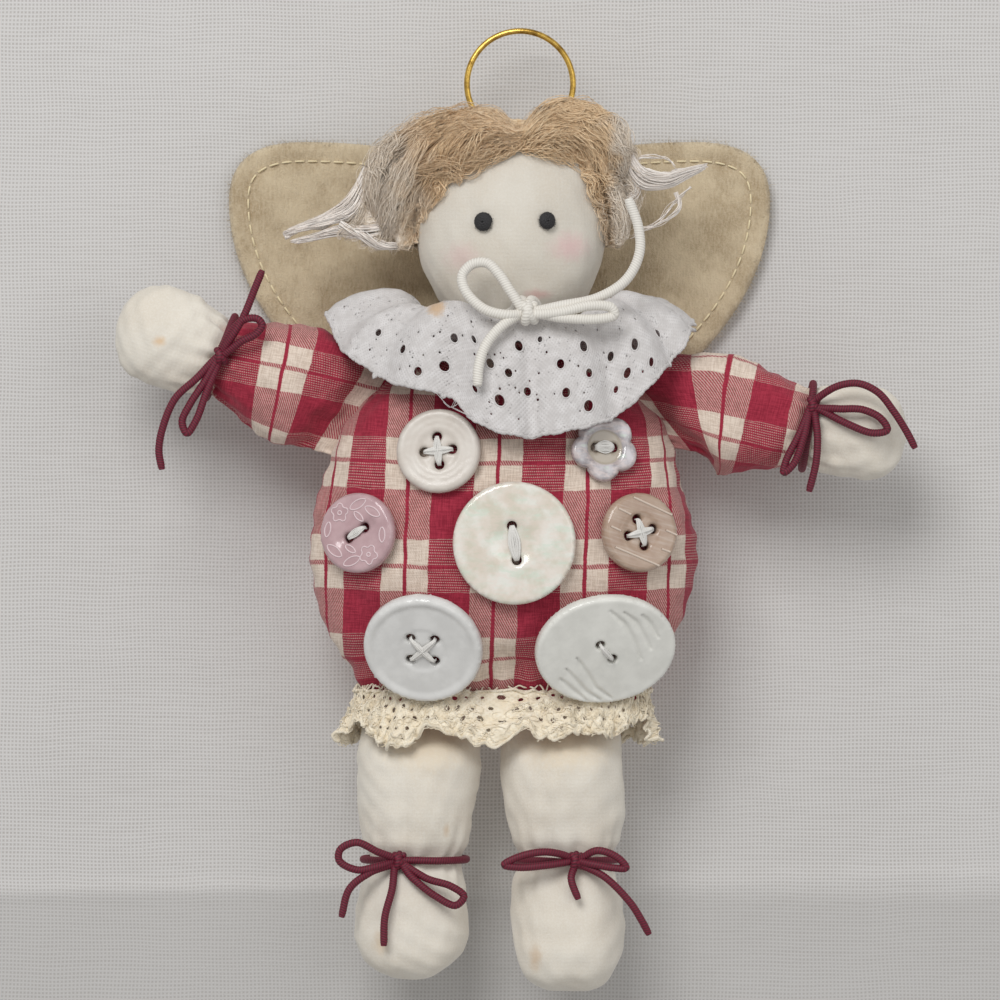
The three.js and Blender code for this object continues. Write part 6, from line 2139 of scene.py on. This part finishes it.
# How a sewing thread arches over a button: share of the way between two holes, and share of its height
THREAD_ARCH = (
    (0, 0.5), (0, 0.8), (0.05, 0.97), (0.2, 1.03), (0.5, 1.06), (0.8, 1.03), (0.95, 0.97), (1, 0.8), (1, 0.5),
)


def sewing_threads(name, button):
    """The threads that run from hole to hole over a button, side by side"""
    middle = button_top(name, button, np.zeros((1, 2)))[0]
    source = np.random.default_rng(len(name) * 7 + 3)
    count, apart = STITCHES[name]
    centres = holes_of(button)
    half = len(centres) // 2
    strands = []
    for a, b in zip(centres[:half], centres[half:]):
        direction = unit(b - a)
        beside = np.array([-direction[1], direction[0]])
        for k in range(count):
            aside = k - (count - 1) / 2
            shift = aside * apart + source.normal(0, 0.05)
            rise = middle + 0.2 + 0.4 * (1 - abs(aside) * 2 / count) + source.uniform(0, 0.14)
            places = []
            for share, height in THREAD_ARCH:
                pinch = 0.34 + 0.66 * math.sin(math.pi * share)
                across = a + (b - a) * share + beside * shift * pinch
                places.append((*across, rise * height))
            line = along_line(places, 0.15)
            strands.append(picked(line, np.linspace(0, len(line) - 1, 18)))
    return strands


def make_button(name, button, finish, thread):
    point, outward = front_point(button["across"], button["down"])
    stand = frame_on(point + outward * CLEARANCE, outward)
    outline = rim_line(button)
    centres = holes_of(button)
    holes = [circle(centre, BUTTON_HOLE / 2, 18) for centre in centres]
    flat, triangles = cut_sheet(outline, holes, detail(0.36 if name == "oval" else 0.5, 1.2))
    far, _ = away_from(flat, outline)
    hole_far = away_from(flat, centres)[0] - BUTTON_HOLE / 2
    edge = button["thickness"] * 0.34
    round_off = edge * rounded_off(far / edge)
    sunk = 0.22 * rounded_off(hole_far / 0.3)
    top = button_top(name, button, flat) - round_off - sunk
    bottom = np.minimum(round_off * 0.8, top - 0.3)
    upper = placed(stand, np.concatenate([flat, top[:, None]], 1))
    lower = placed(stand, np.concatenate([flat, bottom[:, None]], 1))
    body = plate(f"{name}_button", flat, triangles, upper, lower, finish)
    slot = {"flower": "shell_button", "oval": "white_button"}.get(name, f"{name}_button")
    settle(body, "torso", slot, f"button_{name}")
    strands = placed(stand, sewing_threads(name, button))
    sewn = tubes(f"{name}_stitches", strands, 0.15, thread, sides=5)
    settle(sewn, "torso", "white_thread", f"thread_{name}")
    lines = shown_lines(name)
    if lines:
        pale = speckled(f"{name}_line_finish", 2.0, 2, *LINE_TONES[name], Roughness=0.5)
        laid = [np.column_stack([line, button_top(name, button, line)]) for line in lines]
        drawn = tubes(f"{name}_lines", placed(stand, laid), LINE_RADII[name], pale, sides=6)
        settle(drawn, "torso", slot)


# A button's darker and lighter tones, its roughness and its gloss
BUTTON_LOOKS = {
    "ivory": (tone(202, 193, 183), tone(212, 205, 196), 0.36, 0.15),
    "flower": (tone(142, 135, 138), tone(206, 201, 204), 0.12, 0.8),
    "pink": (tone(180, 148, 152), tone(195, 165, 168), 0.24, 0.35),
    "pearl": (tone(211, 205, 188), tone(232, 230, 221), 0.16, 0.6),
    "taupe": (tone(166, 139, 120), tone(179, 155, 135), 0.26, 0.4),
    "white": (tone(214, 213, 210), tone(225, 224, 221), 0.3, 0.35),
    "oval": (tone(220, 219, 212), tone(231, 230, 223), 0.34, 0.3),
}


def button_finish(name):
    """Each button's own stuff, from horn and shell to cloudy plastic"""
    dark, light, roughness, coat = BUTTON_LOOKS[name]
    finish = Finish(f"{name}_button_finish", Roughness=roughness, Coat_Weight=coat, Coat_Roughness=0.08)
    place = finish.place()
    x, y, z = finish.parts(place)
    cloud = finish.noise(place, 0.28, 4, 0.55)
    tint = finish.mix(cloud.fade(0.32, 0.68), dark, light)
    if name in ("pearl", "flower"):
        layered = finish.noise(finish.joined(x * 0.12, y * 0.3, z * 0.32), 1.0, 4, 0.6)
        band = (layered * 6.0).pingpong(1.0)
        tint = finish.mix(band.fade(0.55, 0.95) * 0.3, tint, tone(236, 214, 204))
        tint = finish.mix((1 - band.fade(0.05, 0.4)) * 0.4, tint, tone(204, 224, 206))
    if name == "flower":
        across, up, _ = finish.parts(finish.cloth())
        reach = (across ** 2 + up ** 2).root()
        tint = finish.mix(reach.fade(3.3, 3.7), tone(176, 165, 150), tint)
    if name == "taupe":
        grain = finish.noise(finish.joined((x * 0.3 + z) * 1.6, x * 0.15), 1.0, 3)
        tint = finish.mix(grain.fade(0.4, 0.9), tint, tone(196, 180, 166))
    finish.colour(tint)
    finish.relief(finish.noise(place, 2.2, 3) * 0.4 + cloud, 0.02)
    return finish


# Marks on the face: a broad painted light over its lower part, which lies in shade under the chin, then blush
# on each cheek and the mouth
FACE_MARKS_AND_LIGHT = (
    ((-1.6, -57.5), (15.0, 6.0), tone(238, 233, 224), 0.7),
    ((9.8, -43.2), (4.0, 3.0), tone(224, 176, 180), 0.5),
    ((-11.6, -45.2), (3.8, 3.0), tone(222, 184, 184), 0.4),
    ((3.4, -52.6), (2.8, 1.1), tone(205, 150, 146), 0.55),
)
LEFT_HAND_SPOTS = (
    ((-71.4, -61.8), (1.3, 1.1), tone(214, 172, 120), 0.6),
)
# On each leg the first patch is broad, yellower and slightly darker, just below the hem; the others are
# stains
LEFT_LEG_SPOTS = (
    ((-18.0, -141.0), (10.0, 6.0), tone(228, 209, 178), 0.6),
    ((-14.6, -158.6), (0.7, 1.4), tone(200, 168, 130), 0.5),
    ((-27.6, -180.8), (1.6, 2.6), tone(212, 186, 150), 0.5),
)
RIGHT_LEG_SPOTS = (
    ((9.0, -141.0), (10.0, 6.0), tone(228, 209, 178), 0.6),
    ((3.0, -183.8), (1.3, 2.8), tone(204, 174, 140), 0.55),
)


set_camera()
set_lights()
make_backdrop()
make_bows()

plaid = plaid_finish()
plain = muslin_finish("muslin")
make_torso(plaid)
make_sleeve("sleeve_cloth_left", LEFT_ARM, "left", plaid)
make_sleeve("sleeve_cloth_right", RIGHT_ARM, "right", plaid)
make_hand("hand_cloth_left", "arm_left", LEFT_ARM, "left", muslin_finish("muslin_left_hand", LEFT_HAND_SPOTS))
make_hand("hand_cloth_right", "arm_right", RIGHT_ARM, "right", plain)
make_leg("leg_cloth_left", LEFT_LEG, "left", muslin_finish("muslin_left_leg", LEFT_LEG_SPOTS))
muslin = muslin_finish("muslin_right_leg", RIGHT_LEG_SPOTS)
make_leg("leg_cloth_right", RIGHT_LEG, "right", muslin)
# The head's muslin is a slightly darker copy of the limbs', as painted shade
make_head(muslin_finish("muslin_head", FACE_MARKS_AND_LIGHT, light=0.95))
make_hair()
make_eyes()
make_ring()
make_collar()
make_hem_lace()
make_wings()
thread = white_thread_finish()
make_tack(thread)
for button_name, button_sizes in BUTTONS.items():
    make_button(button_name, button_sizes, button_finish(button_name), thread)
